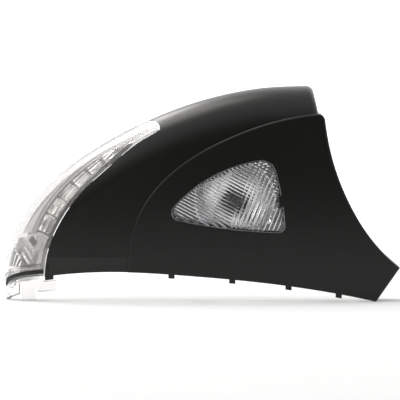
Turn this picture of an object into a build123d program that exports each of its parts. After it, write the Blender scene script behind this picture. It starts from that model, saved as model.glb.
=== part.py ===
"""Door mirror signal lamp: the lower shell of a mirror head, its wrap-around indicator and courtesy lamp.

Millimetres. The part stands on its lower edge. +X runs to the pivot end, +Y away from the
viewer into the mirror head, +Z up. The origin is the middle of the footprint, on the ground.
"""

from build123d import *

import math
import os
from functools import lru_cache

os.makedirs("parts", exist_ok=True)

# Overall size
half_length = 120.0
depth = 46.0
front_y = -depth / 2
back_y = depth / 2
rim_sag = 13.0
spare = 24.0

# Skin of the shell
wall = 2.4
shoulder_radius = 26.0
crown_radius = 520.0
crown_x = 15.0
crown_z = 35.0
upper_setback = 1.0
upper_end_round = 4.5
upper_end_x = 67.5
upper_end_slope = 0.214
panel_crown_radius = 600.0
panel_crown_x = 20.0
panel_crown_z = 40.0
panel_corner = 4.5
panel_edge_round = 1.4
rim_lip_length = 3.0
rim_lip_step = 1.1
ledge_top = 26.4
ledge_crown_lift = 140.0
ledge_right_x = -43.5

# Outlines seen from the front, x and height
arch_points = [(-109.5, 45.3), (-86.7, 73.6), (-50.1, 98.6), (-5.7, 118.2), (34.5, 127.4)]
arch_side_z = 20.0
arch_side_inset = 1.9
arch_foot_inset = 3.2
arch_top_z = 129.1
crease_lean = 1.0
crease_points = [(-43.0, 24.0), (-37.2, 51.5), (-16.6, 78.2), (17.6, 98.6), (45.1, 108.3), (74.6, 113.0)]
pivot_edge_points = [(78.3, 90.1), (89.5, 59.2), (108.3, 30.9)]
tip_z = 20.2
heel_x = 105.6
lower_edge_points = [(-93.1, 14.6), (-71.7, 17.0), (-42.5, 17.7), (-13.8, 16.2), (55.1, 9.3)]
seam_points = [(-93.1, 22.0), (-89.3, 36.9), (-71.7, 65.1), (-53.7, 81.9), (-36.9, 95.7), (-29.5, 100.0)]
seam_tip_x = -24.5
seam_tip_z = 107.5
seam_tip_round = 3.2
seam_leave_x = -34.6

# Small features of the shell
corner_tab_x = -90.6
corner_tab_width = 5.2
edge_tab_x = [-17.1, 19.3, 53.0, 83.1]
edge_tab_width = 3.7
edge_tab_drop = 2.3
seam_flange = 1.8
seam_flange_depth = 8.0
seam_flange_foot = 18.0
rib_x = [-30.0, 0.0, 70.0, 96.0]
rib_thickness = 1.2
rib_depth = 6.0
rib_top = 36.0
carrier_boss_x = [-10.0, 62.0]
carrier_boss_z = 28.0
carrier_boss_radius = 4.2
carrier_boss_y = 6.0
carrier_hole_radius = 1.4
carrier_hole_depth = 12.0

# Fits
fit = 0.2
seam_gap = 0.35
hole_clearance = 0.05
ear_hole_clearance = 0.3

# Signal lamp, measured inwards from the outside of the head
lens_wall = 2.2
lens_side_wall = 1.8
lens_depth = 9.0
weld_gap = 0.1
lamp_depth = 17.0
back_wall = 1.8
end_slope = 0.30
end_z = 19.8
end_at_y = -10.4
end_wall = 3.6
seal_height = 2.3
seal_inset = 2.4
seal_depth = 8.0
seal_side = 0.5
seal_clearance = 0.1
neck_inset = 4.2
neck_depth = 7.0
neck_side = 3.0
flange_inset = 3.5
flange_wall = 2.0
flange_bottom = 12.3
flange_rim = 4.0
skirt_right_x = -94.2
tongue_right_x = -86.4
tongue_top = 6.4
latch_x = -102.9
latch_width = 8.4
latch_top = 10.4
latch_slot = 1.2
latch_hook = 1.4
latch_hook_height = 2.4
rear_rib_height = 1.2
rear_rib_width = 1.6
rear_rib_from_rim = 1.4
rear_rib_left = -86.5
rear_rib_right = -38.0

# Inside the signal lamp
cell_inset = 3.4
mask_inset = 5.2
mask_wall = 0.8
guide_rail = 1.0
reflector_wall = 0.9
optics_from_end = 22.0
mask_width = 13.0
cell_count = 8
cell_length = 9.4
cell_width_low = 6.6
cell_width_high = 3.4
cell_path_points = [(-91.8, 46.6), (-70.6, 73.2), (-38.6, 99.4)]
board_inset = 11.4
board_wall = 1.0
board_side = 4.0
board_width = 8.0
board_rail_side = 7.0
board_rail_width = 2.0
led_places = [(-92.0, 45.5), (-86.5, 54.0), (-80.0, 61.5)]
led_size = 3.0
led_height = 1.2
led_window = 5.0
end_plate_top = 21.0
bowl_x = -100.0
bowl_z = 33.0
bowl_mouth = 6.2
bowl_throat = 2.2
bowl_depth = 5.4
bowl_wall = 0.8
bowl_mouth_inset = 3.0

# Socket of the signal lamp and its screwed ears
socket_x = -71.5
socket_y = 2.4
socket_low = 43.0
socket_width = 14.0
socket_height = 8.4
socket_wall = 1.3
socket_cavity = 10.0
pin_count = 4
pin_pitch = 2.6
pin_size = 0.7
pin_length = 6.5
lamp_ears = [(-82.6, 33.2, -1.4, 165.0), (-45.5, 79.0, 2.6, 130.0)]
ear_thickness = 2.0
ear_radius = 4.0
ear_reach = 11.0
boss_radius = 3.4
screw_head_radius = 2.9
screw_head_height = 1.8
screw_shank_radius = 1.2
lamp_screw_length = 7.0
puddle_screw_length = 4.6
bore_spare = 1.0
screw_recess = 0.9
screw_recess_radius = 1.1

# Courtesy lamp, outlined by three bulged sides with rounded corners
pane_left = (-21.0, 50.5)
pane_top = (43.2, 85.6)
pane_low = (51.3, 41.3)
pane_top_mid = (9.6, 76.6)
pane_right_mid = (48.9, 63.9)
pane_low_mid = (16.0, 43.8)
pane_left_round = 5.0
pane_top_round = 9.0
pane_low_round = 4.0
pane_gap = 0.35
pane_sink = 0.5
pane_skin = 2.6
pane_rim = 1.0
pane_flange = 2.2
pane_flange_thickness = 2.0
pane_seal = 0.8
pane_key_x = 47.4
pane_key_low = 57.1
pane_key_high = 63.7
pane_center_x = 18.0
pane_center_z = 62.0
flute_depth = 0.7
flute_pitch = 1.9
flute_angle = -28.0
prism_pitch = 2.5
prism_angle = 68.0
flute_split_x = 24.1
bulb_x = 21.0
bulb_z = 61.0
bowl_end_y = -6.0
bowl_focus = 18.0
bowl_opening = 8.8
bowl_skin = 1.0
bowl_least_depth = 2.0
casing_wall = 1.5
casing_flange = 1.8
neck_radius = 9.8
neck_bore = 8.0
neck_end_y = -1.5
casing_ears = [(-24.0, 52.5, 5.0), (57.5, 68.0, 190.0)]
casing_ear_reach = 8.0
holder_radius = 10.6
holder_flange = 2.4
holder_plug = 7.2
holder_plug_length = 4.6
holder_socket_width = 11.6
holder_socket_height = 8.0
holder_socket_length = 8.2
holder_socket_wall = 1.3
holder_cavity = 7.0
grip_width = 2.6
grip_reach = 1.8
ring_groove = 0.9
ring_width = 2.0
ring_from_front = 1.2
bulb_radius = 4.6
bulb_tip_y = -15.6
bulb_base_width = 8.6
bulb_base_thickness = 2.4
bulb_base_length = 5.2
blade_width = 2.2
blade_thickness = 0.7
blade_length = 2.5
blade_pitch = 4.6

rim_radius = (half_length**2 + rim_sag**2) / (2 * rim_sag)
far = 2 * half_length
through = depth + 2 * spare
side_fit = lens_side_wall + fit
guide_inset = mask_inset + mask_wall + fit
reflector_inset = guide_inset + guide_rail + fit
flange_front = wall + pane_seal + fit
flange_back = flange_front + pane_flange_thickness
bowl_side = pane_rim + fit
casing_floor_y = bowl_end_y + bowl_skin + fit
holder_y = neck_end_y + fit
plug_y = neck_end_y - holder_plug_length
socket_back_y = holder_y + holder_flange


def upper_face_y(x, z):
    """Depth of the crowned upper face at a place seen from the front."""
    reach = crown_radius**2 - (x - crown_x) ** 2 - (z - crown_z) ** 2
    return front_y + upper_setback + crown_radius - math.sqrt(reach)


def panel_face_y(x, z):
    """Depth of the crowned raised panel at a place seen from the front."""
    reach = panel_crown_radius**2 - (x - panel_crown_x) ** 2 - (z - panel_crown_z) ** 2
    return front_y + panel_crown_radius - math.sqrt(reach)


def end_height(y):
    """Height of the lamp's slanted lower end at a depth."""
    return end_z - end_slope * (y - end_at_y)


def facing(y):
    """Plane at a depth, seen from the front: its x is the part's x, its y is the height."""
    return Plane.XZ.offset(-y)


# Guiding curves seen from the front: the arch, the crease, the pivot edge, the heel and the seam
with BuildLine() as arch_line:
    arch_foot = (-half_length + arch_foot_inset, -2 * spare)
    arch_side = (-half_length + arch_side_inset, arch_side_z)
    arch_top = (upper_end_x, arch_top_z)
    Spline(arch_foot, arch_side, *arch_points, arch_top, (upper_end_x + spare, arch_top_z - 1))
with BuildLine() as end_line:
    end_drop = arch_top_z + spare
    Line((upper_end_x, arch_top_z), (upper_end_x + upper_end_slope * end_drop, -spare))
with BuildLine() as crease_line:
    Spline((crease_points[0][0] - crease_lean, -spare), *crease_points)
with BuildLine() as pivot_line:
    Spline(crease_points[-1], *pivot_edge_points, (half_length, tip_z), tangents=[(0.1, -1), (1, -0.8)])
with BuildLine() as heel_line:
    Line((half_length, tip_z), (heel_x, 0))
with BuildLine() as seam_line:
    Spline(*seam_points, tangents=[(0.1, 1), (0.85, 0.5)])


def beside(line, margin, steps=14):
    """Points beside a guiding curve, moved to the right of its run, with its ends run on straight."""
    curve = line.edge()
    steps = steps if curve.geom_type == GeomType.BSPLINE else 1
    spots = []
    for step in range(steps + 1):
        run = curve % (step / steps)
        spots.append(curve @ (step / steps) + Vector(run.Y, -run.X) * margin)
    before = spots[0] - (curve % 0) * spare
    after = spots[-1] + (curve % 1) * spare
    return before, spots, after


def right_of(line, margin, *corners):
    """Sketch edges of the region to the right of a guiding curve, closed round the given corners."""
    before, spots, after = beside(line, margin)
    if len(spots) > 2:
        Spline(*spots, tangents=[line.edge() % 0, line.edge() % 1])
    else:
        Line(*spots)
    Polyline(spots[-1], after, *corners, before, spots[0])


@lru_cache
def head_column(inset):
    """Arched outline of the mirror head run back through its depth."""
    with BuildPart() as column:
        with BuildSketch(facing(front_y - spare)):
            with BuildLine():
                right_of(arch_line, inset, (far, -far), (-far / 2, -far))
            make_face()
        extrude(amount=-through)
        with BuildSketch(facing(front_y - spare)):
            with BuildLine():
                right_of(end_line, inset, (-far, -far), (-far, far))
            make_face()
        extrude(amount=-through, mode=Mode.INTERSECT)
        with BuildSketch(facing(front_y - spare)):
            with Locations((0, -spare)):
                Rectangle(2 * far, far, align=(Align.CENTER, Align.MIN))
        extrude(amount=-through, mode=Mode.INTERSECT)
    return column.part


@lru_cache
def head_form(inset):
    """Smooth mirror head: the arched outline, crowned in front, with a rounded shoulder."""
    column = head_column(inset)
    with BuildPart() as form:
        add(column)
        with Locations((crown_x, front_y + upper_setback + crown_radius, crown_z)):
            Sphere(crown_radius - inset, mode=Mode.INTERSECT)
        shoulder = form.faces().filter_by(GeomType.SPHERE).edges().filter_by(GeomType.BSPLINE)
        fillet(shoulder.sort_by(SortBy.LENGTH)[-1], shoulder_radius - inset)
        if inset < upper_end_round:
            end_face = form.faces().filter_by(GeomType.PLANE).sort_by(Axis.X)[-1]
            upright = end_face.edges().filter_by(lambda edge: edge.center().Z > 0)
            fillet(upright, upper_end_round - inset)
    return form.part


@lru_cache
def panel_form(inset):
    """Raised panel round the courtesy lamp, run back to form the wall at the pivot end."""
    with BuildPart() as form:
        with BuildSketch(facing(front_y - spare)):
            with BuildLine():
                right_of(crease_line, inset, (far, arch_top_z), (far, -far), (0, -far))
            make_face()
        extrude(amount=-through)
        with BuildSketch(facing(front_y - spare)):
            with BuildLine():
                right_of(pivot_line, inset, (far, -far), (-far, -far), (-far, far))
            make_face()
        extrude(amount=-through, mode=Mode.INTERSECT)
        with BuildSketch(facing(front_y - spare)):
            with BuildLine():
                right_of(heel_line, inset, (-far, -far), (-far, far), (far / 2, far))
            make_face()
        extrude(amount=-through, mode=Mode.INTERSECT)
        corner = form.edges().filter_by(Axis.Y).sort_by(Axis.Z)[-1]
        fillet(corner, panel_corner - inset)
        with Locations((panel_crown_x, front_y + panel_crown_radius, panel_crown_z)):
            Sphere(panel_crown_radius - inset, mode=Mode.INTERSECT)
        if not inset:
            rounded = form.faces().filter_by(GeomType.SPHERE).edges()
            fillet(rounded.filter_by(lambda edge: edge.center().Z > 0), panel_edge_round)
    return form.part


@lru_cache
def behind_rim(margin):
    """Everything behind the rear rim, brought forward by a margin."""
    with BuildPart() as space:
        with Locations((0, back_y - rim_sag + rim_radius, 0)):
            Cylinder(rim_radius + margin, 2 * far)
    return space.part


def ledge_cut(inset):
    """Space ahead of the sloping ledge under the upper face, or ahead of its inner wall."""
    crown_drop = crown_radius**2 - (ledge_right_x - crown_x) ** 2
    reach = math.sqrt(crown_drop - (ledge_top - crown_z - ledge_crown_lift) ** 2)
    crown_y = upper_face_y(ledge_right_x, ledge_top) + reach
    with BuildPart() as cut:
        with BuildSketch(facing(front_y - spare)):
            with Locations((ledge_right_x + inset, ledge_top)):
                Rectangle(far, far, align=(Align.MAX, Align.MAX))
        extrude(amount=-through)
        with Locations((crown_x, crown_y, crown_z + ledge_crown_lift)):
            Sphere(crown_radius - inset, mode=Mode.SUBTRACT)
    return cut.part


def below_edge(drop):
    """Everything under the shell's lower edge, lowered by a drop."""
    with BuildPart() as space:
        with BuildSketch(facing(front_y - spare)):
            with BuildLine():
                lowered = [(x, z - drop) for x, z in lower_edge_points]
                left = lowered[0][1]
                edge = Spline(*lowered, (heel_x, -drop))
                Polyline(edge @ 1, (far, -drop), (far, -far), (-far, -far), (-far, left), edge @ 0)
            make_face()
        extrude(amount=-through)
    return space.part


def slanted_zone(low, high):
    """Space between two heights over the lamp's slanted end plane."""
    with BuildPart() as zone:
        with BuildSketch(Plane.YZ):
            with BuildLine():
                near, away = 2 * front_y, 2 * back_y
                Polyline(
                    (near, end_height(near) + low),
                    (away, end_height(away) + low),
                    (away, end_height(away) + high),
                    (near, end_height(near) + high),
                    close=True,
                )
            make_face()
        extrude(amount=far, both=True)
    return zone.part


@lru_cache
def lamp_column(margin):
    """Region of the signal lamp seen from the front, run through the head and shrunk by a margin."""
    with BuildPart() as column:
        with BuildSketch(facing(front_y - spare)):
            with BuildLine():
                above = arch_top_z + 2 * spare
                right_of(seam_line, -margin, (0, above), (-far, above), (-far, -far), (seam_points[0][0], -far))
            make_face()
        extrude(amount=-through)
        with BuildSketch(facing(front_y - spare)) as cap:
            with BuildLine():
                Polyline(
                    (seam_tip_x, -far),
                    (seam_tip_x, seam_tip_z),
                    (seam_leave_x, seam_tip_z),
                    (seam_leave_x - far, seam_tip_z + far),
                    (-2 * far, -far),
                    close=True,
                )
            make_face()
            fillet(cap.vertices().group_by(Axis.X)[-1].sort_by(Axis.Y)[-1], seam_tip_round)
            if margin:
                offset(amount=-margin, kind=Kind.INTERSECTION)
        extrude(amount=-through, mode=Mode.INTERSECT)
    return column.part


def lamp_space(front_inset, back_inset, side, rim, low, high=far):
    """Curved block of the lamp between two insets of the head, inside its seam, rim and end."""
    outer = head_form(front_inset)
    inner = head_form(back_inset)
    column = lamp_column(side)
    behind = behind_rim(rim)
    zone = slanted_zone(low, high)
    with BuildPart() as block:
        add(column)
        add(zone, mode=Mode.INTERSECT)
        add(behind, mode=Mode.SUBTRACT)
        add(outer, mode=Mode.INTERSECT)
        add(inner, mode=Mode.SUBTRACT)
    return block.part


def pane_column(grow, low_y=front_y - spare, high_y=0.0):
    """Outline of the courtesy lens grown by a margin, between two depths."""
    with BuildPart() as column:
        with BuildSketch(facing(low_y)) as outline:
            with BuildLine():
                ThreePointArc(pane_left, pane_top_mid, pane_top)
                ThreePointArc(pane_top, pane_right_mid, pane_low)
                ThreePointArc(pane_low, pane_low_mid, pane_left)
            make_face()
            fillet(outline.vertices().sort_by(Axis.X)[0], pane_left_round)
            fillet(outline.vertices().sort_by(Axis.Y)[-1], pane_top_round)
            fillet(outline.vertices().sort_by(Axis.Y)[0], pane_low_round)
            if grow:
                offset(amount=grow, kind=Kind.ARC)
            key_height = pane_key_high - pane_key_low - 2 * grow
            with Locations((pane_key_x + grow, (pane_key_low + pane_key_high) / 2)):
                Rectangle(far, key_height, align=(Align.MIN, Align.CENTER), mode=Mode.SUBTRACT)
        extrude(amount=low_y - high_y)
    return column.part


def pane_block(low, high, grow):
    """Layer of the courtesy lens's outline between two depths under the raised panel's face."""
    column = pane_column(grow)
    with BuildPart() as block:
        add(column)
        with Locations((panel_crown_x, front_y + panel_crown_radius, panel_crown_z)):
            Sphere(panel_crown_radius - low, mode=Mode.INTERSECT)
            Sphere(panel_crown_radius - high, mode=Mode.SUBTRACT)
    return block.part


def ear_plate(x, z, y, thickness, reach, angle):
    """Ear with a round end at a screw's place, reaching towards the lamp that carries it."""
    with BuildPart() as ear:
        with BuildSketch(facing(y)):
            middle = (x + reach / 2 * math.cos(math.radians(angle)), z + reach / 2 * math.sin(math.radians(angle)))
            with Locations(middle):
                SlotCenterToCenter(reach, 2 * ear_radius, rotation=angle)
        extrude(amount=-thickness)
    return ear.part


def hole(x, z, y, radius, length):
    """Round hole from a depth backwards, or a pin of that size."""
    with BuildPart() as bore:
        with BuildSketch(facing(y)):
            with Locations((x, z)):
                Circle(radius)
        extrude(amount=-length)
    return bore.part


def screw_set(places, length):
    """Pan-head screws of one length through the ears, each with a driver recess."""
    with BuildPart() as screws:
        for x, z, y in places:
            with BuildSketch(facing(y)):
                with Locations((x, z)):
                    Circle(screw_shank_radius)
            extrude(amount=length)
            with BuildSketch(facing(y)):
                with Locations((x, z)):
                    Circle(screw_head_radius)
            extrude(amount=-screw_head_height)
            with BuildSketch(facing(y + screw_head_height)):
                with Locations((x, z)):
                    RegularPolygon(screw_recess_radius, 6)
            extrude(amount=screw_recess, mode=Mode.SUBTRACT)
    return screws.part


def screw_bores(places, length):
    """Blind bores in the bosses for screws of one length."""
    deep = length + bore_spare
    with BuildPart() as bores:
        for x, z, y in places:
            add(hole(x, z, y - deep, screw_shank_radius + hole_clearance, deep))
    return bores.part


lamp_ear_seats = [(x, z, y + ear_thickness + fit) for x, z, y, angle in lamp_ears]
casing_ear_y = [panel_face_y(x, z) + flange_back + fit for x, z, angle in casing_ears]
casing_ear_seats = [(ear[0], ear[1], y + ear_thickness + fit) for ear, y in zip(casing_ears, casing_ear_y)]

# Hollow of the shell
with BuildPart() as cavity:
    add(head_form(wall))
    add(panel_form(wall))
    add(ledge_cut(wall), mode=Mode.SUBTRACT)

# Bosses and ribs that rise from the inside of the shell
with BuildPart() as inside_bosses:
    for x in carrier_boss_x:
        add(hole(x, carrier_boss_z, front_y - spare, carrier_boss_radius, carrier_boss_y + spare - front_y))
    for x, z, y, angle in lamp_ears:
        add(hole(x, z, front_y - spare, boss_radius, y - fit + spare - front_y))
    for (x, z, angle), y in zip(casing_ears, casing_ear_y):
        add(hole(x, z, front_y - spare, boss_radius, y - fit + spare - front_y))
    for x in rib_x:
        with BuildSketch(facing(front_y)):
            with Locations((x, rib_top)):
                Rectangle(rib_thickness, rib_top + spare, align=(Align.CENTER, Align.MAX))
        extrude(amount=-(panel_face_y(x, 0) - front_y + wall + rib_depth))
    add(cavity.part, mode=Mode.INTERSECT)

# Wall of the shell that runs back along the signal lamp
with BuildPart() as seam_wall:
    add(head_form(wall / 2))
    add(head_form(seam_flange_depth), mode=Mode.SUBTRACT)
    add(lamp_column(-seam_gap - seam_flange), mode=Mode.INTERSECT)
    with BuildSketch(Plane.XY.offset(seam_flange_foot)):
        Rectangle(far, far)
    extrude(amount=far, mode=Mode.INTERSECT)

# Trimming of the lower edge, which leaves the small tabs
with BuildPart() as edge_trim:
    add(below_edge(0))
    with BuildSketch(facing(front_y - 1)):
        with Locations([(x, 0) for x in edge_tab_x]):
            Rectangle(edge_tab_width, far)
        with Locations((corner_tab_x, 0)):
            Rectangle(corner_tab_width, far)
    extrude(amount=front_y, mode=Mode.SUBTRACT)
    add(below_edge(edge_tab_drop))

# Step in the outside of the rear rim, where the upper cover laps over
with BuildPart() as rim_step:
    add(head_form(0))
    add(panel_form(0))
    add(head_form(rim_lip_step), mode=Mode.SUBTRACT)
    add(panel_form(rim_lip_step), mode=Mode.SUBTRACT)
    add(behind_rim(rim_lip_length), mode=Mode.INTERSECT)

# Housing shell
with BuildPart() as housing_shell:
    add(head_form(0))
    add(panel_form(0))
    add(ledge_cut(0), mode=Mode.SUBTRACT)
    add(cavity.part, mode=Mode.SUBTRACT)
    add(inside_bosses.part)
    add(seam_wall.part)
    add(lamp_column(-seam_gap), mode=Mode.SUBTRACT)
    add(behind_rim(0), mode=Mode.SUBTRACT)
    add(edge_trim.part, mode=Mode.SUBTRACT)
    add(rim_step.part, mode=Mode.SUBTRACT)
    add(pane_column(pane_gap), mode=Mode.SUBTRACT)
    for x in carrier_boss_x:
        start_y = carrier_boss_y - carrier_hole_depth
        add(hole(x, carrier_boss_z, start_y, carrier_hole_radius, carrier_hole_depth), mode=Mode.SUBTRACT)
    add(screw_bores(lamp_ear_seats, lamp_screw_length), mode=Mode.SUBTRACT)
    add(screw_bores(casing_ear_seats, puddle_screw_length), mode=Mode.SUBTRACT)
housing_shell.part.label = "housing_shell"
export_step(housing_shell.part, "parts/housing_shell.step")

# Skirt of the signal lens below its seal, with a side tongue and a snap latch
with BuildPart() as lens_skirt:
    add(head_form(flange_inset))
    add(head_form(flange_inset + flange_wall), mode=Mode.SUBTRACT)
    add(slanted_zone(-flange_bottom, -seal_height), mode=Mode.INTERSECT)
    with BuildSketch(facing(front_y - spare)):
        with Locations((tongue_right_x, 0)):
            Rectangle(far, far, align=(Align.MAX, Align.CENTER))
    extrude(amount=-through, mode=Mode.INTERSECT)
    with BuildSketch(Plane.YZ.offset(skirt_right_x)):
        with BuildLine():
            near, away = 2 * front_y, 2 * back_y
            Polyline(
                (near, end_height(near) - tongue_top),
                (away, end_height(away) - tongue_top),
                (away, far),
                (near, far),
                close=True,
            )
        make_face()
    extrude(amount=far, mode=Mode.SUBTRACT)
    add(behind_rim(flange_rim), mode=Mode.SUBTRACT)
    with BuildSketch(facing(front_y - spare)):
        with Locations((latch_x, latch_top)):
            Rectangle(latch_width + 2 * latch_slot, far, align=(Align.CENTER, Align.MAX))
        Rectangle(2 * far, far, align=(Align.CENTER, Align.MAX))
    extrude(amount=-through, mode=Mode.SUBTRACT)

with BuildPart() as lens_latch:
    add(head_form(flange_inset))
    add(head_form(flange_inset + flange_wall), mode=Mode.SUBTRACT)
    with BuildSketch(facing(front_y - spare)):
        with Locations((latch_x, 0)):
            Rectangle(latch_width, latch_top + 1, align=(Align.CENTER, Align.MIN))
    extrude(amount=-through, mode=Mode.INTERSECT)

with BuildPart() as latch_barb:
    add(head_form(flange_inset - latch_hook))
    add(head_form(flange_inset + flange_wall / 2), mode=Mode.SUBTRACT)
    with BuildSketch(facing(front_y - spare)):
        with Locations((latch_x, 0)):
            Rectangle(latch_width, latch_hook_height, align=(Align.CENTER, Align.MIN))
    extrude(amount=-through, mode=Mode.INTERSECT)

# Rib along the rear edge of the signal lens
with BuildPart() as rear_rib:
    add(head_column(-rear_rib_height))
    add(head_form(lens_wall / 2), mode=Mode.SUBTRACT)
    with BuildSketch(facing(front_y - spare)):
        with Locations((rear_rib_left, 0)):
            Rectangle(rear_rib_right - rear_rib_left, far, align=(Align.MIN, Align.CENTER))
    extrude(amount=-through, mode=Mode.INTERSECT)
    add(behind_rim(rear_rib_from_rim), mode=Mode.SUBTRACT)
    add(behind_rim(rear_rib_from_rim + rear_rib_width), mode=Mode.INTERSECT)
    with BuildSketch(Plane.XY):
        Rectangle(far, far)
    extrude(amount=far, mode=Mode.INTERSECT)

# Signal lens
with BuildPart() as signal_lens:
    add(lamp_space(0, lens_depth, 0, 0, 0))
    hollow = lamp_space(lens_wall, lens_depth + 1, lens_side_wall, lens_side_wall, end_wall)
    add(hollow, mode=Mode.SUBTRACT)
    add(lamp_space(neck_inset, neck_depth, neck_side, neck_side, -seal_height - flange_wall, end_wall / 2))
    add(lens_skirt.part)
    add(lens_latch.part)
    add(latch_barb.part)
    add(rear_rib.part)
signal_lens.part.label = "signal_lens"
export_step(signal_lens.part, "parts/signal_lens.step")

# Rubber seal round the neck of the signal lens
with BuildPart() as lens_end_seal:
    ring_side = neck_side - seal_clearance
    add(lamp_space(seal_inset, seal_depth, seal_side, seal_side, -seal_height + seal_clearance, -seal_clearance))
    ring_hole = lamp_space(neck_inset - seal_clearance, neck_depth + seal_clearance, ring_side, ring_side, -far, far)
    add(ring_hole, mode=Mode.SUBTRACT)
lens_end_seal.part.label = "lens_end_seal"
export_step(lens_end_seal.part, "parts/lens_end_seal.step")

# Path of the light cells, and the cells' outlines run through the lamp
with BuildLine(Plane.XZ) as cell_path:
    Spline(*cell_path_points)


def cell_places():
    """Places along the light cells' path, with the turn and width of each cell."""
    path = cell_path.edge()
    places = []
    for index in range(cell_count):
        share = index / (cell_count - 1)
        spot = path @ share
        run = path % share
        width = cell_width_low + (cell_width_high - cell_width_low) * share
        places.append((spot.X, spot.Z, math.degrees(math.atan2(run.Z, run.X)), width))
    return places


def cell_prisms(grow):
    """Cells' rectangles, grown by a margin and run through the lamp."""
    with BuildPart() as prisms:
        with BuildSketch(facing(front_y)):
            for x, z, turn, width in cell_places():
                with Locations((x, z)):
                    Rectangle(cell_length + 2 * grow, width + 2 * grow, rotation=turn)
        extrude(amount=-depth)
    return prisms.part


# Dark mask with a window for each cell
with BuildPart() as signal_mask:
    add(lamp_space(mask_inset, mask_inset + mask_wall, side_fit, side_fit, optics_from_end))
    add(lamp_column(mask_width), mode=Mode.SUBTRACT)
    add(cell_prisms(fit), mode=Mode.SUBTRACT)
signal_mask.part.label = "signal_mask"
export_step(signal_mask.part, "parts/signal_mask.step")

# Clear light guide: a curved rail with a raised cell at each window
with BuildPart() as cell_blocks:
    add(lamp_space(cell_inset, guide_inset + guide_rail / 2, side_fit, side_fit, optics_from_end))
    add(cell_prisms(0), mode=Mode.INTERSECT)

with BuildPart() as light_guide:
    add(lamp_space(guide_inset, guide_inset + guide_rail, side_fit, side_fit, optics_from_end))
    add(lamp_column(mask_width), mode=Mode.SUBTRACT)
    add(cell_blocks.part)
light_guide.part.label = "light_guide"
export_step(light_guide.part, "parts/light_guide.step")

# Places of the light-emitting diodes on the curved board
board_face = head_form(board_inset)
led_seats = []
for x, z in led_places:
    hits = board_face.find_intersection_points(Axis((x, front_y - spare, z), (0, 1, 0)))
    spot, normal = sorted(hits, key=lambda hit: hit[0].Y)[0]
    outward = normal if normal.Y < 0 else normal * -1
    led_seats.append((spot, outward))

# Silvered reflector behind the light guide
with BuildPart() as signal_reflector:
    back = reflector_inset + reflector_wall
    add(lamp_space(reflector_inset, back, side_fit, side_fit, optics_from_end))
    for spot, outward in led_seats:
        with BuildSketch(Plane(origin=spot, z_dir=outward)):
            Circle(led_window / 2)
        extrude(amount=lamp_depth, mode=Mode.SUBTRACT)
signal_reflector.part.label = "signal_reflector"
export_step(signal_reflector.part, "parts/signal_reflector.step")

# Reflector bowl in the lower end of the lamp
plate_face = head_form(reflector_inset)
hits = plate_face.find_intersection_points(Axis((bowl_x, front_y - spare, bowl_z), (0, 1, 0)))
bowl_spot, bowl_normal = sorted(hits, key=lambda hit: hit[0].Y)[0]
bowl_plane = Plane(origin=bowl_spot, z_dir=bowl_normal if bowl_normal.Y < 0 else bowl_normal * -1)

with BuildPart() as bowl_cup:
    with BuildSketch(bowl_plane.offset(-reflector_wall)):
        Circle(bowl_throat + bowl_wall)
    with BuildSketch(bowl_plane.offset(bowl_depth)):
        Circle(bowl_mouth + bowl_wall)
    loft()
    add(head_form(bowl_mouth_inset), mode=Mode.INTERSECT)

with BuildPart() as bowl_hollow:
    with BuildSketch(bowl_plane.offset(-2 * reflector_wall)):
        Circle(bowl_throat)
    with BuildSketch(bowl_plane.offset(bowl_depth)):
        Circle(bowl_mouth)
    loft()

with BuildPart() as end_reflector:
    back = reflector_inset + reflector_wall
    add(lamp_space(reflector_inset, back, side_fit, side_fit, end_wall + fit, end_plate_top))
    add(bowl_cup.part)
    add(bowl_hollow.part, mode=Mode.SUBTRACT)
end_reflector.part.label = "end_reflector"
export_step(end_reflector.part, "parts/end_reflector.step")

# Curved circuit board and its diodes
with BuildPart() as signal_board:
    add(lamp_space(board_inset, board_inset + board_wall, board_side, board_side, end_wall + board_side))
    add(lamp_column(board_side + board_width), mode=Mode.SUBTRACT)
signal_board.part.label = "signal_board"
export_step(signal_board.part, "parts/signal_board.step")

with BuildPart() as signal_leds:
    for spot, outward in led_seats:
        with BuildSketch(Plane(origin=spot + outward * hole_clearance, z_dir=outward)):
            Rectangle(led_size, led_size)
        extrude(amount=led_height)
signal_leds.part.label = "signal_leds"
export_step(signal_leds.part, "parts/signal_leds.step")

# Rail that carries the circuit board
with BuildPart() as board_rail:
    rail_front = board_inset + board_wall + fit
    add(lamp_space(rail_front, lamp_depth - back_wall / 2, board_rail_side, board_side, end_wall / 2))
    add(lamp_column(board_rail_side + board_rail_width), mode=Mode.SUBTRACT)

# Ears and socket outside the lamp's back housing
with BuildPart() as housing_outworks:
    for x, z, y, angle in lamp_ears:
        add(ear_plate(x, z, y, ear_thickness, ear_reach, angle))
    with BuildSketch(facing(socket_y - socket_height / 2)):
        with Locations((socket_x, socket_low)):
            Rectangle(socket_width, far / 4, align=(Align.CENTER, Align.MIN))
    extrude(amount=-socket_height)
    add(lamp_column(back_wall / 2), mode=Mode.SUBTRACT)
    for x, z, y, angle in lamp_ears:
        add(hole(x, z, y, screw_shank_radius + ear_hole_clearance, ear_thickness), mode=Mode.SUBTRACT)
    with BuildSketch(Plane.XY.offset(socket_low)):
        with Locations((socket_x, socket_y)):
            Rectangle(socket_width - 2 * socket_wall, socket_height - 2 * socket_wall)
    extrude(amount=socket_cavity, mode=Mode.SUBTRACT)

# Back housing of the signal lamp
with BuildPart() as signal_back_housing:
    add(lamp_space(lens_depth + weld_gap, lamp_depth, 0, 0, 0))
    add(lamp_space(lens_depth, lamp_depth - back_wall, back_wall, back_wall, end_wall), mode=Mode.SUBTRACT)
    add(board_rail.part)
    add(housing_outworks.part)
signal_back_housing.part.label = "signal_back_housing"
export_step(signal_back_housing.part, "parts/signal_back_housing.step")

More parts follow.
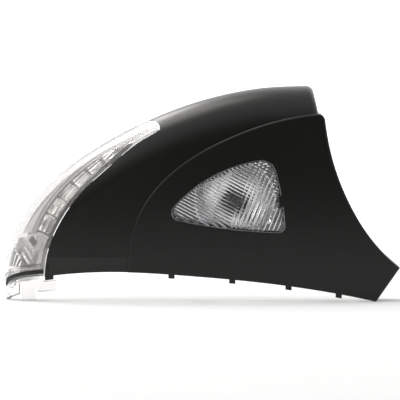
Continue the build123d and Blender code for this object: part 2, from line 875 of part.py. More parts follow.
# Contact pins in the socket
with BuildPart() as socket_pins:
    with BuildSketch(Plane.XY.offset(socket_low + socket_cavity)):
        with Locations((socket_x, socket_y)):
            with GridLocations(pin_pitch, 0, pin_count, 1):
                Rectangle(pin_size, pin_size)
    extrude(amount=-pin_length)
socket_pins.part.label = "socket_pins"
export_step(socket_pins.part, "parts/socket_pins.step")

# Screws of the signal lamp and of the courtesy lamp
with BuildPart() as lamp_screws:
    add(screw_set(lamp_ear_seats, lamp_screw_length))
lamp_screws.part.label = "lamp_screws"
export_step(lamp_screws.part, "parts/lamp_screws.step")

with BuildPart() as puddle_screws:
    add(screw_set(casing_ear_seats, puddle_screw_length))
puddle_screws.part.label = "puddle_screws"
export_step(puddle_screws.part, "parts/puddle_screws.step")

# Plane of the courtesy lens's inner face
lens_y = panel_face_y(pane_center_x, pane_center_z) + pane_sink + pane_skin
crown_center = Vector(panel_crown_x, front_y + panel_crown_radius, panel_crown_z)
lens_point = Vector(pane_center_x, lens_y, pane_center_z)
lens_normal = (lens_point - crown_center).normalized()


def groove_comb(angle, pitch, left, right):
    """Block behind the courtesy lens with saw teeth along its flutes, between two leaning sides."""
    slope = math.radians(angle)
    lean = prism_angle - 90
    along = Vector(math.cos(slope), 0, math.sin(slope))
    along = (along - lens_normal * along.dot(lens_normal)).normalized()
    count = math.ceil((pane_top[0] - pane_left[0]) / pitch / 2) + 2
    teeth = [(0.5 * pitch * step, -flute_depth * (step % 2)) for step in range(-2 * count, 2 * count + 1)]
    with BuildPart() as comb:
        with BuildSketch(Plane(origin=lens_point, x_dir=along.cross(lens_normal), z_dir=along)):
            with BuildLine():
                Polyline(*teeth, (teeth[-1][0], spare), (teeth[0][0], spare), close=True)
            make_face()
        extrude(amount=far / 4, both=True)
        with BuildSketch(facing(front_y - spare)):
            with Locations(((left + right) / 2, pane_center_z)):
                Rectangle((right - left) * math.cos(math.radians(lean)), far, rotation=lean)
        extrude(amount=-through, mode=Mode.INTERSECT)
    return comb.part


# Clear lens of the courtesy lamp, fluted on the left and ridged on the right
with BuildPart() as lens_hollow:
    add(groove_comb(flute_angle, flute_pitch, pane_left[0] - spare, flute_split_x))
    add(groove_comb(prism_angle, prism_pitch, flute_split_x, pane_low[0] + spare))
    add(pane_column(-pane_rim), mode=Mode.INTERSECT)

with BuildPart() as puddle_lens:
    add(pane_block(pane_sink, flange_back, 0))
    add(pane_block(flange_front, flange_back, pane_flange))
    add(lens_hollow.part, mode=Mode.SUBTRACT)
puddle_lens.part.label = "puddle_lens"
export_step(puddle_lens.part, "parts/puddle_lens.step")

# Gasket between the courtesy lens and the shell
with BuildPart() as puddle_lens_seal:
    add(pane_block(wall + fit / 2, wall + fit / 2 + pane_seal, pane_flange))
    add(pane_column(fit), mode=Mode.SUBTRACT)
puddle_lens_seal.part.label = "puddle_lens_seal"
export_step(puddle_lens_seal.part, "parts/puddle_lens_seal.step")


def bowl_space(grow, side):
    """Inside of the courtesy lamp's bowl, a paraboloid trimmed by the lens outline."""
    deep = bowl_end_y + grow
    front = front_y - 1
    profile = []
    for y in (deep, deep - 3, deep - 8, front):
        profile.append((math.sqrt((bowl_opening + grow) ** 2 + 4 * bowl_focus * (deep - y)), y))
    with BuildPart() as space:
        with BuildSketch(Plane(origin=(bulb_x, 0, bulb_z), x_dir=(1, 0, 0), z_dir=(0, 0, 1))):
            with BuildLine():
                Spline(*profile)
                Polyline(profile[-1], (0, front), (0, deep), profile[0])
            make_face()
        revolve(axis=Axis((bulb_x, 0, bulb_z), (0, 1, 0)))
        add(pane_block(pane_sink, flange_back + bowl_least_depth + grow, 0))
        add(pane_column(-side), mode=Mode.INTERSECT)
        with Locations((panel_crown_x, front_y + panel_crown_radius, panel_crown_z)):
            Sphere(panel_crown_radius - flange_back - fit, mode=Mode.INTERSECT)
    return space.part


# Silvered bowl of the courtesy lamp
with BuildPart() as puddle_reflector:
    add(bowl_space(bowl_skin, bowl_side))
    add(bowl_space(0, bowl_side + bowl_skin), mode=Mode.SUBTRACT)
    add(hole(bulb_x, bulb_z, bowl_end_y - 1, bowl_opening, depth), mode=Mode.SUBTRACT)
puddle_reflector.part.label = "puddle_reflector"
export_step(puddle_reflector.part, "parts/puddle_reflector.step")

# Casing of the courtesy lamp, with a flange, a neck for the bulb holder and two ears
with BuildPart() as puddle_lamp_body:
    add(pane_column(casing_wall - pane_rim, high_y=casing_floor_y + casing_wall))
    add(pane_block(flange_back + fit, flange_back + fit + casing_flange, pane_flange))
    for (x, z, angle), y in zip(casing_ears, casing_ear_y):
        add(ear_plate(x, z, y, ear_thickness, casing_ear_reach, angle))
    with Locations((panel_crown_x, front_y + panel_crown_radius, panel_crown_z)):
        Sphere(panel_crown_radius - flange_back - fit, mode=Mode.INTERSECT)
    add(hole(bulb_x, bulb_z, casing_floor_y, neck_radius, neck_end_y - casing_floor_y))
    add(pane_column(-pane_rim, high_y=casing_floor_y), mode=Mode.SUBTRACT)
    add(hole(bulb_x, bulb_z, casing_floor_y, neck_bore, depth), mode=Mode.SUBTRACT)
    for (x, z, angle), y in zip(casing_ears, casing_ear_y):
        add(hole(x, z, y, screw_shank_radius + ear_hole_clearance, ear_thickness), mode=Mode.SUBTRACT)
puddle_lamp_body.part.label = "puddle_lamp_body"
export_step(puddle_lamp_body.part, "parts/puddle_lamp_body.step")

# Bulb holder: a plug in the neck, a flange with finger grips and a socket behind
with BuildPart() as bulb_holder:
    add(hole(bulb_x, bulb_z, plug_y, holder_plug, holder_y - plug_y + holder_flange))
    add(hole(bulb_x, bulb_z, holder_y, holder_radius, holder_flange))
    with BuildSketch(facing(holder_y)):
        with Locations((bulb_x, bulb_z)):
            with PolarLocations(holder_radius, 4, start_angle=45):
                Rectangle(2 * grip_reach, grip_width)
    extrude(amount=-holder_flange)
    with BuildSketch(facing(socket_back_y)):
        with Locations((bulb_x, bulb_z)):
            Rectangle(holder_socket_width, holder_socket_height)
    extrude(amount=-holder_socket_length)
    with BuildSketch(facing(socket_back_y + holder_socket_length)):
        with Locations((bulb_x, bulb_z)):
            cavity_width = holder_socket_width - 2 * holder_socket_wall
            Rectangle(cavity_width, holder_socket_height - 2 * holder_socket_wall)
    extrude(amount=holder_cavity, mode=Mode.SUBTRACT)
    with BuildSketch(facing(plug_y)):
        with Locations((bulb_x, bulb_z)):
            Rectangle(bulb_base_width + 2 * fit, bulb_base_thickness + 2 * fit)
    extrude(amount=-(bulb_base_length + fit), mode=Mode.SUBTRACT)
    with BuildSketch(facing(plug_y + ring_from_front)):
        with Locations((bulb_x, bulb_z)):
            Circle(holder_plug + fit)
            Circle(holder_plug - ring_groove, mode=Mode.SUBTRACT)
    extrude(amount=-ring_width, mode=Mode.SUBTRACT)
bulb_holder.part.label = "bulb_holder"
export_step(bulb_holder.part, "parts/bulb_holder.step")

# Sealing ring on the bulb holder's plug
with BuildPart() as holder_ring:
    with BuildSketch(facing(plug_y + ring_from_front + hole_clearance)):
        with Locations((bulb_x, bulb_z)):
            Circle(neck_bore - hole_clearance)
            Circle(holder_plug - ring_groove + hole_clearance, mode=Mode.SUBTRACT)
    extrude(amount=-(ring_width - 2 * hole_clearance))
holder_ring.part.label = "holder_ring"
export_step(holder_ring.part, "parts/holder_ring.step")

# Capless bulb with a wedge base
with BuildPart() as bulb:
    shoulder_y = plug_y - fit
    with BuildSketch(Plane(origin=(bulb_x, 0, bulb_z), x_dir=(1, 0, 0), z_dir=(0, 0, 1))):
        with BuildLine():
            dome_y = bulb_tip_y + bulb_radius
            CenterArc((0, dome_y), bulb_radius, -90, 90)
            neck_line = bulb_radius * 0.7
            Polyline((bulb_radius, dome_y), (bulb_radius, shoulder_y - 1.5), (neck_line, shoulder_y), (0, shoulder_y))
            Line((0, shoulder_y), (0, bulb_tip_y))
        make_face()
    revolve(axis=Axis((bulb_x, 0, bulb_z), (0, 1, 0)))
    with BuildSketch(facing(shoulder_y - 0.5)):
        with Locations((bulb_x, bulb_z)):
            Rectangle(bulb_base_width, bulb_base_thickness)
    extrude(amount=-(bulb_base_length + 0.5))
bulb.part.label = "bulb"
export_step(bulb.part, "parts/bulb.step")

# Contact blades in the bulb holder's socket
with BuildPart() as holder_blades:
    with BuildSketch(facing(socket_back_y + holder_socket_length - holder_cavity)):
        with Locations((bulb_x, bulb_z)):
            with GridLocations(blade_pitch, 0, 2, 1):
                Rectangle(blade_width, blade_thickness)
    extrude(amount=-blade_length)
holder_blades.part.label = "holder_blades"
export_step(holder_blades.part, "parts/holder_blades.step")
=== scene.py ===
"""Door mirror signal lamp: finishes, lamp optics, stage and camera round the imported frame.

Sizes in the functions are millimetres, and each finished mesh is written in metres.
"""

import math

import bpy
import numpy as np
from bpy.props import FloatProperty, FloatVectorProperty, IntProperty, PointerProperty
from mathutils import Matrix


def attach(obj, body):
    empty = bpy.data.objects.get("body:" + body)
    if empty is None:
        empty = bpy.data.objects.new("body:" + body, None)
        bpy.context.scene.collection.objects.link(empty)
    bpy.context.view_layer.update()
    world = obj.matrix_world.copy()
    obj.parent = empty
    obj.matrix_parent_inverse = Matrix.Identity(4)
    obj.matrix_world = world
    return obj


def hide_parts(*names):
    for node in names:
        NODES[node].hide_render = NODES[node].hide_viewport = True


bl_info = {
    "name": "Door Mirror Signal Lamp",
    "version": (1, 0, 0),
    "blender": (4, 5, 0),
    "location": "3D View > Sidebar > Signal Lamp",
    "description": "Dresses the shell, the lenses and the optics of a door mirror signal lamp",
    "category": "Object",
}

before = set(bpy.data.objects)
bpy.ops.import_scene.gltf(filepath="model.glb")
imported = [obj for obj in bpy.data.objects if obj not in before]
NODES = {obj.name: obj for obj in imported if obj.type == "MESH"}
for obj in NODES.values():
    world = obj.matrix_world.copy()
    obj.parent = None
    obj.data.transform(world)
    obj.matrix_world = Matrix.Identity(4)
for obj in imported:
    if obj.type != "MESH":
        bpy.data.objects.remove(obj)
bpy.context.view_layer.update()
MM = 0.001

# Skin of the mirror head, as the solids have it: guiding lines as places in x and z
ARCH = [
    (-120.6, -10.0), (-118.1, 20.0), (-109.5, 45.3), (-86.7, 73.6), (-50.1, 98.6), (-5.7, 118.2),
    (34.5, 127.4),
]
SEAM = [
    (-93.1, 8.0), (-93.1, 22.0), (-89.3, 36.9), (-71.7, 65.1), (-53.7, 81.9), (-36.9, 95.7),
    (-29.5, 100.0),
]
LINE_SPOTS = 400
FRONT_Y = -23.0
# A crowned face: x and z of the sphere's middle, its radius, and how far the face is set back
CROWN = (15.0, 35.0, 520.0, 1.0)
PANEL = (20.0, 40.0, 600.0, 0.0)
# Radius of the shoulder, and the sine at which its arc ends
SHOULDER, STEEPEST = 26.0, 0.995

# Row of light cells: places along and beside the seam. A face or a back is an inset from the skin
CELL_START = 30.8
CELL_NARROWS = (28.0, 120.0)
CELL_NEAR, CELL_DRIFT = 2.1, 0.1
CELL_FAR, CELL_TAPER = 9.4, 4.4
BED_GRID = (480, 80)
BED_START, BED_NARROWS = CELL_START - 1.0, (40.0, 125.0)
BED_WIDTH, BED_TAPER, BED_ARCH_GAP = 8.4, 3.4, 3.6
BED_CORNER, BED_DRAWN = CELL_START + 14.0, 0.45
BED_FACE, BED_BACK = 5.0, 8.0
BED_TROUGH, BED_LIP = 2.2, 1.9
# Rails beyond the cells: how far each stands off, and its half width
RAIL_HEIGHT, RAILS = 0.9, ((1.5, 0.4), (3.2, 0.35))
GUIDE_FACE, GUIDE_BACK = 6.2, 7.0
CELL_RISE, CELL_DOME, CELL_GAP = 1.1, 0.5, 0.9
BAR_FACE, BAR_BACK, BAR_HALF, BAR_BOW = 4.9, 6.1, 0.4, 0.5

# Lower end of the signal lamp: a place or a middle is in x and z
END_GRID = (190, 170)
END_FOOT, END_HEIGHT, END_SLANT = 20.6, 20.9, 4.5
END_SEAM_GAP, END_ARCH_GAP = 2.3, 3.4
END_CORNER, END_CORNER_FALL = (-108.0, 24.5), 0.62
END_FACE, END_BACK = 5.4, 10.2
END_MIDDLE, END_SPREAD, END_DEPTH = (-104.5, 30.0), (8.5, 9.0), 3.0
END_FLUTE_LEAN = math.radians(-56.0)
END_FLUTE_PLACE, END_FLUTE_PITCH, END_FLUTE_HEIGHT = (-100.0, 33.0), 3.0, 0.6
# Facet beside the seam: its distance from the seam and its height, and its fall along both
FACET_PLACE, FACET_FALL, FACET_INSET, FACET_EDGE = (2.6, 30.0), (0.55, 0.16), 1.9, (5.4, 6.4)
# Dark bars behind the end window: painted shade for the dark bands that its prism ribs show
PRISM_SHADE_COUNT = 4
PRISM_SHADE_FOOT, PRISM_SHADE_STEP, PRISM_SHADE_LEAN = (-115.2, 20.3), 1.8, 2.2
PRISM_SHADE_HEIGHT, PRISM_SHADE_SHORTER = 11.0, 2.1
PRISM_SHADE_WIDTH, PRISM_SHADE_FLARE = 0.95, 0.4
PRISM_SHADE_INSET, PRISM_SHADE_DEPTH = 2.5, 3.0
# Dark diamond over the end bowl: a painted dark reflection in the bowl
DARK_PATCH_PLACE, DARK_PATCH_RUN, DARK_PATCH_RISE = (-100.3, 35.6), (1.5, -2.0), (1.1, 1.4)
DARK_PATCH_INSET, DARK_PATCH_DEPTH = 4.6, 1.5

# Courtesy lens: three bulged sides through three places each, and each corner's two sides and radius
PANE_CENTRE = (18.0, 62.0)
PANE_SIDES = (
    ((-21.0, 50.5), (9.6, 76.6), (43.2, 85.6)),
    ((43.2, 85.6), (48.9, 63.9), (51.3, 41.3)),
    ((51.3, 41.3), (16.0, 43.8), (-21.0, 50.5)),
)
PANE_CORNERS = ((2, 0, (-21.0, 50.5), 5.0), (0, 1, (43.2, 85.6), 9.0), (1, 2, (51.3, 41.3), 4.0))
# Key notch: where it cuts the rim in x, and its lower and upper end
PANE_KEY = (47.4, 57.1, 63.7)
# Depths behind the panel's skin, and the gap between the optics and the rim's outline
PANE_FACE, PANE_BACK, PANE_MARGIN = 0.5, 3.1, 0.52
# Section of the rim: how far each corner lies outside the outline, and its depth
RIM_GROW = (-0.5, -0.3, -0.1, 0.0, 0.0, 2.2, 2.2, -0.5)
RIM_DEPTH = (0.5, 0.5, 0.58, 0.8, 3.4, 3.4, 5.4, 5.4)
FLUTE_FALL, FLUTE_GRID = math.radians(-28.0), (12, 44)
RIDGE_LEAN, RIDGE_GRID, RIDGE_RELIEF = math.radians(68.0), (14, 230), 1.7
# Where the pillows cross the ridges: bands of distance from the border, of height, and of a slant
PILLOWS_END, PILLOWS_FOOT, FAR_START, FAR_SLANT = (9.6, 10.4), (52.0, 54.0), (12.0, 13.0), (108.0, 114.0)
BORDER_PLACE, BORDER_GAP = (24.1, 62.0), 0.05
SHORTEST_ROW = 0.5
# Bowl behind the lens: radius of its hole, gap to the rim, and depths behind the panel's skin
BULB_PLACE = (21.0, 61.0)
DISH_HOLE, DISH_MARGIN, DISH_SHELF = 5.5, 1.2, 5.9
DISH_DEPTH, DISH_CURVE, DISH_WALL = 12.0, 48.0, 0.9

# Moulded plastics: colour, roughness, and the scale and strength of the grain
RUBBER = ((0.012, 0.012, 0.0115), 0.62, 1800.0, 0.3)
CASING = ((0.036, 0.036, 0.037), 0.5, 2200.0, 0.25)
BOARD = ((0.025, 0.10, 0.045), 0.35, 1200.0, 0.2)
DIODE = ((0.78, 0.70, 0.38), 0.2, 900.0, 0.05)
# Near black of the bars between the cells: real dividers whose darkness is painted shade
BAR_SHADE_BLACK = ((0.05, 0.048, 0.046), 0.3, 1500.0, 0.1)
# Near black of the end window's bars and of the patch over the bowl: painted shade
PRISM_SHADE_BLACK = ((0.012, 0.012, 0.012), 0.3, 1500.0, 0.1)
# Platings and metals: colour and roughness
BACK_PLATING = ((0.62, 0.615, 0.60), 0.34)
BRIGHT_PLATING = ((0.90, 0.89, 0.87), 0.10)
DISH_PLATING = ((0.90, 0.90, 0.93), 0.10)
ZINC = ((0.55, 0.55, 0.53), 0.3)
TIN = ((0.74, 0.68, 0.48), 0.25)
# Clear plastics and glass
# The edge tint is the white that the courtesy rim shows as a painted highlight.
SIGNAL_TINT, RIM_HIGHLIGHT_TINT, BULB_TINT = (0.94, 0.93, 0.925), (0.95, 0.95, 0.96), (0.98, 0.98, 0.98)
POLISH = 0.015
NOISE_RANGE = (0.3, 0.7)

# Stage: each lamp's place, the spot it is aimed at, and its side, in metres
LAMPS = {
    "top_light": ((-0.55, 1.05, 1.05), (0.0, 0.0, 0.05), 0.45),
    "side_light": ((-1.3, -0.8, 1.0), (0.0, 0.0, 0.06), 0.7),
    "rim_light": ((-0.45, 0.35, 1.15), (0.0, 0.0, 0.09), 0.6),
}
LAMP_COLOUR = (1.0, 0.97, 0.94)
# Room: the line it brightens along, where on that line it does, and its full level
ROOM_RISE, ROOM_SHADE, ROOM_LEVEL = (0.0, 0.95, 0.3), (-1.0, -0.1), 0.92
# Floor in millimetres, and the places in metres between which its own shine grows
FLOOR_FRONT, FLOOR_BEND, FLOOR_ROUND, FLOOR_TOP, FLOOR_SIDE = -1150.0, 2500.0, 1500.0, 6000.0, 6000.0
FLOOR_COLOUR = (0.85, 0.85, 0.85, 1.0)
LIFT_PLACES, LIFT_LEVELS = (0.1, 1.2), (0.18, 0.85)
# Camera: sensor in millimetres, width of the view and height of its middle in metres
SENSOR, VIEW_WIDTH, VIEW_HEIGHT = 36.0, 0.2406, 0.0605


# Shapes

def smooth_line(points, count):
    """Natural cubic through the points, run by chord length: its spots, unit runs and the way along."""
    knots = np.array(points, float)
    chord = np.concatenate([[0.0], np.cumsum(np.hypot(*np.diff(knots, axis=0).T))])
    gaps = np.diff(chord)
    size = len(knots)
    system = np.eye(size)
    right = np.zeros((size, 2))
    inner = np.arange(1, size - 1)
    system[inner, inner - 1] = gaps[:-1]
    system[inner, inner] = 2 * (gaps[:-1] + gaps[1:])
    system[inner, inner + 1] = gaps[1:]
    slopes = np.diff(knots, axis=0) / gaps[:, None]
    right[inner] = 6 * (slopes[1:] - slopes[:-1])
    bend = np.linalg.solve(system, right)
    at = np.linspace(0.0, chord[-1], count)
    k = np.clip(np.searchsorted(chord, at, side="right") - 1, 0, size - 2)
    w = gaps[k][:, None]
    a = (chord[k + 1] - at)[:, None]
    b = (at - chord[k])[:, None]
    spots = (bend[k] * a**3 + bend[k + 1] * b**3) / (6 * w)
    spots += (knots[k] / w - bend[k] * w / 6) * a + (knots[k + 1] / w - bend[k + 1] * w / 6) * b
    runs = np.gradient(spots, axis=0)
    return spots, runs / np.hypot(*runs.T)[:, None], at


ARCH_LINE = smooth_line(ARCH, LINE_SPOTS)
SEAM_LINE = smooth_line(SEAM, LINE_SPOTS)


def sphere_y(x, z, crown, inset):
    """Depth of a crowned face: the front half of a sphere shrunk by the inset."""
    centre_x, centre_z, radius, setback = crown
    square = (radius - inset) ** 2 - (x - centre_x) ** 2 - (z - centre_z) ** 2
    return FRONT_Y + setback + radius - np.sqrt(square)


def arch_gap(x, z):
    """Distance of each place from the arch, in parts of the grid to save memory."""
    flat = np.stack([np.ravel(x), np.ravel(z)], 1)
    away = np.empty(len(flat))
    for part in np.array_split(np.arange(len(flat)), max(1, len(flat) // 20000)):
        gap = flat[part][:, None, :] - ARCH_LINE[0][None, :, :]
        away[part] = np.sqrt((gap**2).sum(2).min(1))
    return away.reshape(np.shape(x))


def head_y(x, z, inset):
    """Depth of the head's skin: the crown, and near the arch the arc of the rounded shoulder.

    A ball of the shoulder's radius rolls inside the arch and the crown. At a distance s from the
    arch the arc's sine is (radius - s) over (radius - inset).
    """
    arc = np.clip((SHOULDER - arch_gap(x, z)) / (SHOULDER - inset), 0.0, STEEPEST)
    drop = (SHOULDER - inset) * (1 - np.sqrt(1 - arc**2))
    return sphere_y(x, z, CROWN, 0.0) + inset + drop


def beside(line, run, off):
    """Places to the left of a guiding line: run is the way along it and off the distance from it."""
    spots, runs, at = line
    x = np.interp(run, at, spots[:, 0])
    z = np.interp(run, at, spots[:, 1])
    dx = np.interp(run, at, runs[:, 0])
    dz = np.interp(run, at, runs[:, 1])
    return x - dz * off, z + dx * off


def ease(value, low, high):
    """0 below low, 1 above high, smooth between."""
    t = np.clip((value - low) / (high - low), 0.0, 1.0)
    return t * t * (3 - 2 * t)


def band(value, low, high, edge):
    """1 between low and high, with soft edges."""
    return ease(value, low - edge / 2, low + edge / 2) * (1 - ease(value, high - edge / 2, high + edge / 2))


def across_step(value, slack=0.0):
    """Runs from -1 to 1 over each whole step of the value."""
    return 2 * (value - np.floor(value + slack)) - 1


def grid_triangles(rows, columns, start=0, wrap=False):
    """Two triangles for each cell of a grid of vertices, joined round when wrap is set."""
    last = rows if wrap else rows - 1
    i, j = np.meshgrid(np.arange(last), np.arange(columns - 1), indexing="ij")
    a = i * columns + j
    b = ((i + 1) % rows) * columns + j
    quads = np.stack([a, b, b + 1, a + 1], -1).reshape(-1, 4) + start
    return np.concatenate([quads[:, [0, 1, 2]], quads[:, [0, 2, 3]]])


def slab(front, back):
    """Closed slab between two grids of the same size: both faces and the wall round their border."""
    rows, columns = front.shape[:2]
    spots = np.concatenate([front.reshape(-1, 3), back.reshape(-1, 3)])
    top = grid_triangles(rows, columns)
    under = grid_triangles(rows, columns, rows * columns)[:, ::-1]
    index = np.arange(rows * columns).reshape(rows, columns)
    rim = np.concatenate([index[0, :-1], index[:-1, -1], index[-1, :0:-1], index[:0:-1, 0]])
    after = np.roll(rim, -1)
    low = rim + rows * columns
    low_after = after + rows * columns
    wall = np.concatenate([np.stack([rim, low, low_after], 1), np.stack([rim, low_after, after], 1)])
    return spots, np.concatenate([top, under, wall[:, ::-1]])


def ring_shell(rings):
    """Closed shell from a closed section (columns) carried round a closed path (rows)."""
    rows, columns = rings.shape[:2]
    wrapped = np.concatenate([rings, rings[:, :1]], 1)
    triangles = grid_triangles(rows, columns + 1, 0, True)
    row, column = np.divmod(triangles, columns + 1)
    return rings.reshape(-1, 3), row * columns + column % columns


def joined(parts):
    """Several shells as one list of spots and triangles."""
    spots, triangles, count = [], [], 0
    for part_spots, part_triangles in parts:
        spots.append(part_spots)
        triangles.append(part_triangles + count)
        count += len(part_spots)
    return np.concatenate(spots), np.concatenate(triangles)


def outward(spots, triangles):
    """Triangles turned so that the shell's enclosed volume is positive."""
    a, b, c = (spots[triangles[:, k]] for k in range(3))
    volume = (a * np.cross(b, c)).sum()
    return triangles if volume > 0 else triangles[:, ::-1]


def add_piece(name, parts, material, replaced=(), sharp=40.0):
    """Writes closed shells into one mesh in metres, at the origin, and puts it on the body."""
    spots, triangles = joined([(s, outward(s, t)) for s, t in parts])
    mesh = bpy.data.meshes.new(name)
    mesh.vertices.add(len(spots))
    mesh.vertices.foreach_set("co", (spots * MM).astype(np.float32).ravel())
    mesh.loops.add(triangles.size)
    mesh.loops.foreach_set("vertex_index", triangles.astype(np.int32).ravel())
    mesh.polygons.add(len(triangles))
    mesh.polygons.foreach_set("loop_start", np.arange(0, triangles.size, 3, dtype=np.int32))
    mesh.update(calc_edges=True)
    mesh.polygons.foreach_set("use_smooth", np.ones(len(triangles), bool))
    mesh.set_sharp_from_angle(angle=math.radians(sharp))
    mesh.materials.append(material)
    piece = bpy.data.objects.new(name, mesh)
    bpy.context.scene.collection.objects.link(piece)
    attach(piece, "root")
    if replaced:
        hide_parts(*replaced)


def under_skin(x, z, inset):
    """Grid of spots at an inset from the head's skin."""
    return np.stack([x, head_y(x, z, inset + 0 * x), z], -1)


def on_head(run, off, inset):
    """Grid of spots beside the seam, at an inset from the head's skin."""
    return under_skin(*beside(SEAM_LINE, run, off), inset)


# Materials

def new_material(name, **inputs):
    """A Principled material with constants set on the shader's own sockets."""
    material = bpy.data.materials.new(name)
    material.use_nodes = True
    shader = material.node_tree.nodes["Principled BSDF"]
    for socket, value in inputs.items():
        shader.inputs[socket.replace("_", " ")].default_value = value
    return material, material.node_tree, shader


def noise(tree, scale, detail):
    """Noise over Object coordinates."""
    place = tree.nodes.new("ShaderNodeTexCoord")
    texture = tree.nodes.new("ShaderNodeTexNoise")
    texture.inputs["Scale"].default_value = scale
    texture.inputs["Detail"].default_value = detail
    tree.links.new(place.outputs["Object"], texture.inputs["Vector"])
    return texture.outputs["Fac"]


def spread(tree, source, low, high):
    """Maps the range that most of the noise lies in onto the range from low to high."""
    node = tree.nodes.new("ShaderNodeMapRange")
    node.inputs["From Min"].default_value, node.inputs["From Max"].default_value = NOISE_RANGE
    node.inputs["To Min"].default_value = low
    node.inputs["To Max"].default_value = high
    tree.links.new(source, node.inputs["Value"])
    return node.outputs["Result"]


def two_tone(tree, source, first, second):
    """Colour that runs from first to second with the source value."""
    ramp = tree.nodes.new("ShaderNodeValToRGB")
    ramp.color_ramp.elements[0].position = 0.35
    ramp.color_ramp.elements[1].position = 0.65
    ramp.color_ramp.elements[0].color = (*first, 1.0)
    ramp.color_ramp.elements[1].color = (*second, 1.0)
    tree.links.new(source, ramp.inputs["Fac"])
    return ramp.outputs["Color"]


def grain(tree, shader, scale, strength, distance):
    """Fine bump of a moulded or cast surface."""
    bump = tree.nodes.new("ShaderNodeBump")
    bump.inputs["Strength"].default_value = strength
    bump.inputs["Distance"].default_value = distance
    tree.links.new(noise(tree, scale, 2.0), bump.inputs["Height"])
    tree.links.new(bump.outputs["Normal"], shader.inputs["Normal"])


def tones(colour, share):
    """A colour a share darker and a share lighter."""
    return tuple(c * (1 - share) for c in colour), tuple(c * (1 + share) for c in colour)


def moulded_plastic(name, colour, roughness, grain_scale, grain_strength, **inputs):
    """Moulded plastic: two close tones, an uneven sheen and a fine grain."""
    material, tree, shader = new_material(name, **inputs)
    cloud = noise(tree, 38.0, 4.0)
    tree.links.new(two_tone(tree, cloud, *tones(colour, 0.14)), shader.inputs["Base Color"])
    fine = noise(tree, 420.0, 3.0)
    tree.links.new(spread(tree, fine, roughness - 0.04, roughness + 0.05), shader.inputs["Roughness"])
    grain(tree, shader, grain_scale, grain_strength, 0.00004)
    return material


def clear_plastic(name, tint, roughness, ior, diffuse_share=0.0):
    """Clear polished plastic with faint flow marks, and a diffuse share that makes it evenly milky."""
    material, tree, shader = new_material(
        name, Base_Color=(*tint, 1.0), Roughness=roughness, IOR=ior, Transmission_Weight=1.0 - diffuse_share
    )
    grain(tree, shader, 90.0, 0.05, 0.0002)
    return material


def silvered(name, colour, roughness, metallic=1.0):
    """Vacuum-metallised plastic or plated steel: bright, faintly clouded."""
    material, tree, shader = new_material(name, Metallic=metallic)
    cloud = noise(tree, 160.0, 3.0)
    tree.links.new(two_tone(tree, cloud, *tones(colour, 0.06)), shader.inputs["Base Color"])
    tree.links.new(spread(tree, cloud, roughness - 0.03, roughness + 0.05), shader.inputs["Roughness"])
    grain(tree, shader, 900.0, 0.08, 0.00003)
    return material


def dress(material, *names):
    """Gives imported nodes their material."""
    for name in names:
        slots = NODES[name].data.materials
        slots.clear()
        slots.append(material)


# Settings

class ShellFinish(bpy.types.PropertyGroup):
    colour: FloatVectorProperty(
        name="Colour", description="Colour of the black moulding", subtype="COLOR", size=3,
        default=(0.0032, 0.0044, 0.0025), min=0.0, max=1.0)
    roughness: FloatProperty(
        name="Roughness", description="Roughness of its satin surface", default=0.36, min=0.1, max=0.9,
        subtype="FACTOR")
    gloss: FloatProperty(
        name="Gloss", description="Strength of its reflections", default=0.19, min=0.0, max=1.0,
        subtype="FACTOR")


class LensFinish(bpy.types.PropertyGroup):
    tint: FloatVectorProperty(
        name="Tint", description="Tint of the clear plastic", subtype="COLOR", size=3,
        default=(0.975, 0.972, 0.965), min=0.0, max=1.0)
    silver: FloatVectorProperty(
        name="Silver", description="Colour of the metallised optics", subtype="COLOR", size=3,
        default=(0.86, 0.84, 0.83), min=0.0, max=1.0)
    ior: FloatProperty(name="Refraction", description="Index of refraction", default=1.49, min=1.3, max=1.8)


class CellSizes(bpy.types.PropertyGroup):
    count: IntProperty(name="Cells", description="Number of light cells", default=8, min=3, max=14)
    pitch: FloatProperty(
        name="Pitch", description="Distance between light cells in millimetres", default=10.8,
        min=6.0, max=14.0)
    flutes: IntProperty(name="Flutes", description="Flutes across each cell", default=3, min=1, max=6)
    height: FloatProperty(
        name="Flute Height", description="Height of the flutes in millimetres", default=0.8,
        min=0.1, max=1.2)


class PaneSizes(bpy.types.PropertyGroup):
    flute_pitch: FloatProperty(
        name="Flute Pitch", description="Pitch of the left flutes in millimetres", default=1.87,
        min=1.0, max=4.0)
    ridge_pitch: FloatProperty(
        name="Ridge Pitch", description="Pitch of the right ridges in millimetres", default=2.5,
        min=1.0, max=4.0)
    relief: FloatProperty(
        name="Relief", description="Depth of the optics in millimetres", default=0.34, min=0.1, max=1.2)


class StageLook(bpy.types.PropertyGroup):
    top_light: FloatProperty(
        name="Top Light", description="Power of the light above", default=5.0, min=0.0, unit="POWER")
    side_light: FloatProperty(
        name="Side Light", description="Power of the light at the left", default=2.4, min=0.0, unit="POWER")
    rim_light: FloatProperty(
        name="Rim Light", description="Power of the light over the arch", default=3.8, min=0.0, unit="POWER")
    front_shade: FloatProperty(
        name="Front Shade", description="Level of the room behind the camera", default=0.05,
        min=0.0, max=1.0, subtype="FACTOR")
    glass_shade: FloatProperty(
        name="Glass Shade", description="Least level of the room seen through glass", default=0.08, min=0.0,
        max=1.0, subtype="FACTOR")
    distance: FloatProperty(
        name="Distance", description="Distance of the camera", default=4.0, min=1.0,
        unit="LENGTH")
    elevation: FloatProperty(
        name="Elevation", description="Height angle of the camera", default=math.radians(2.0),
        subtype="ANGLE")


GROUPS = {
    "lamp_shell": ShellFinish,
    "lamp_lens": LensFinish,
    "lamp_cells": CellSizes,
    "lamp_pane": PaneSizes,
    "lamp_stage": StageLook,
}


# Operators

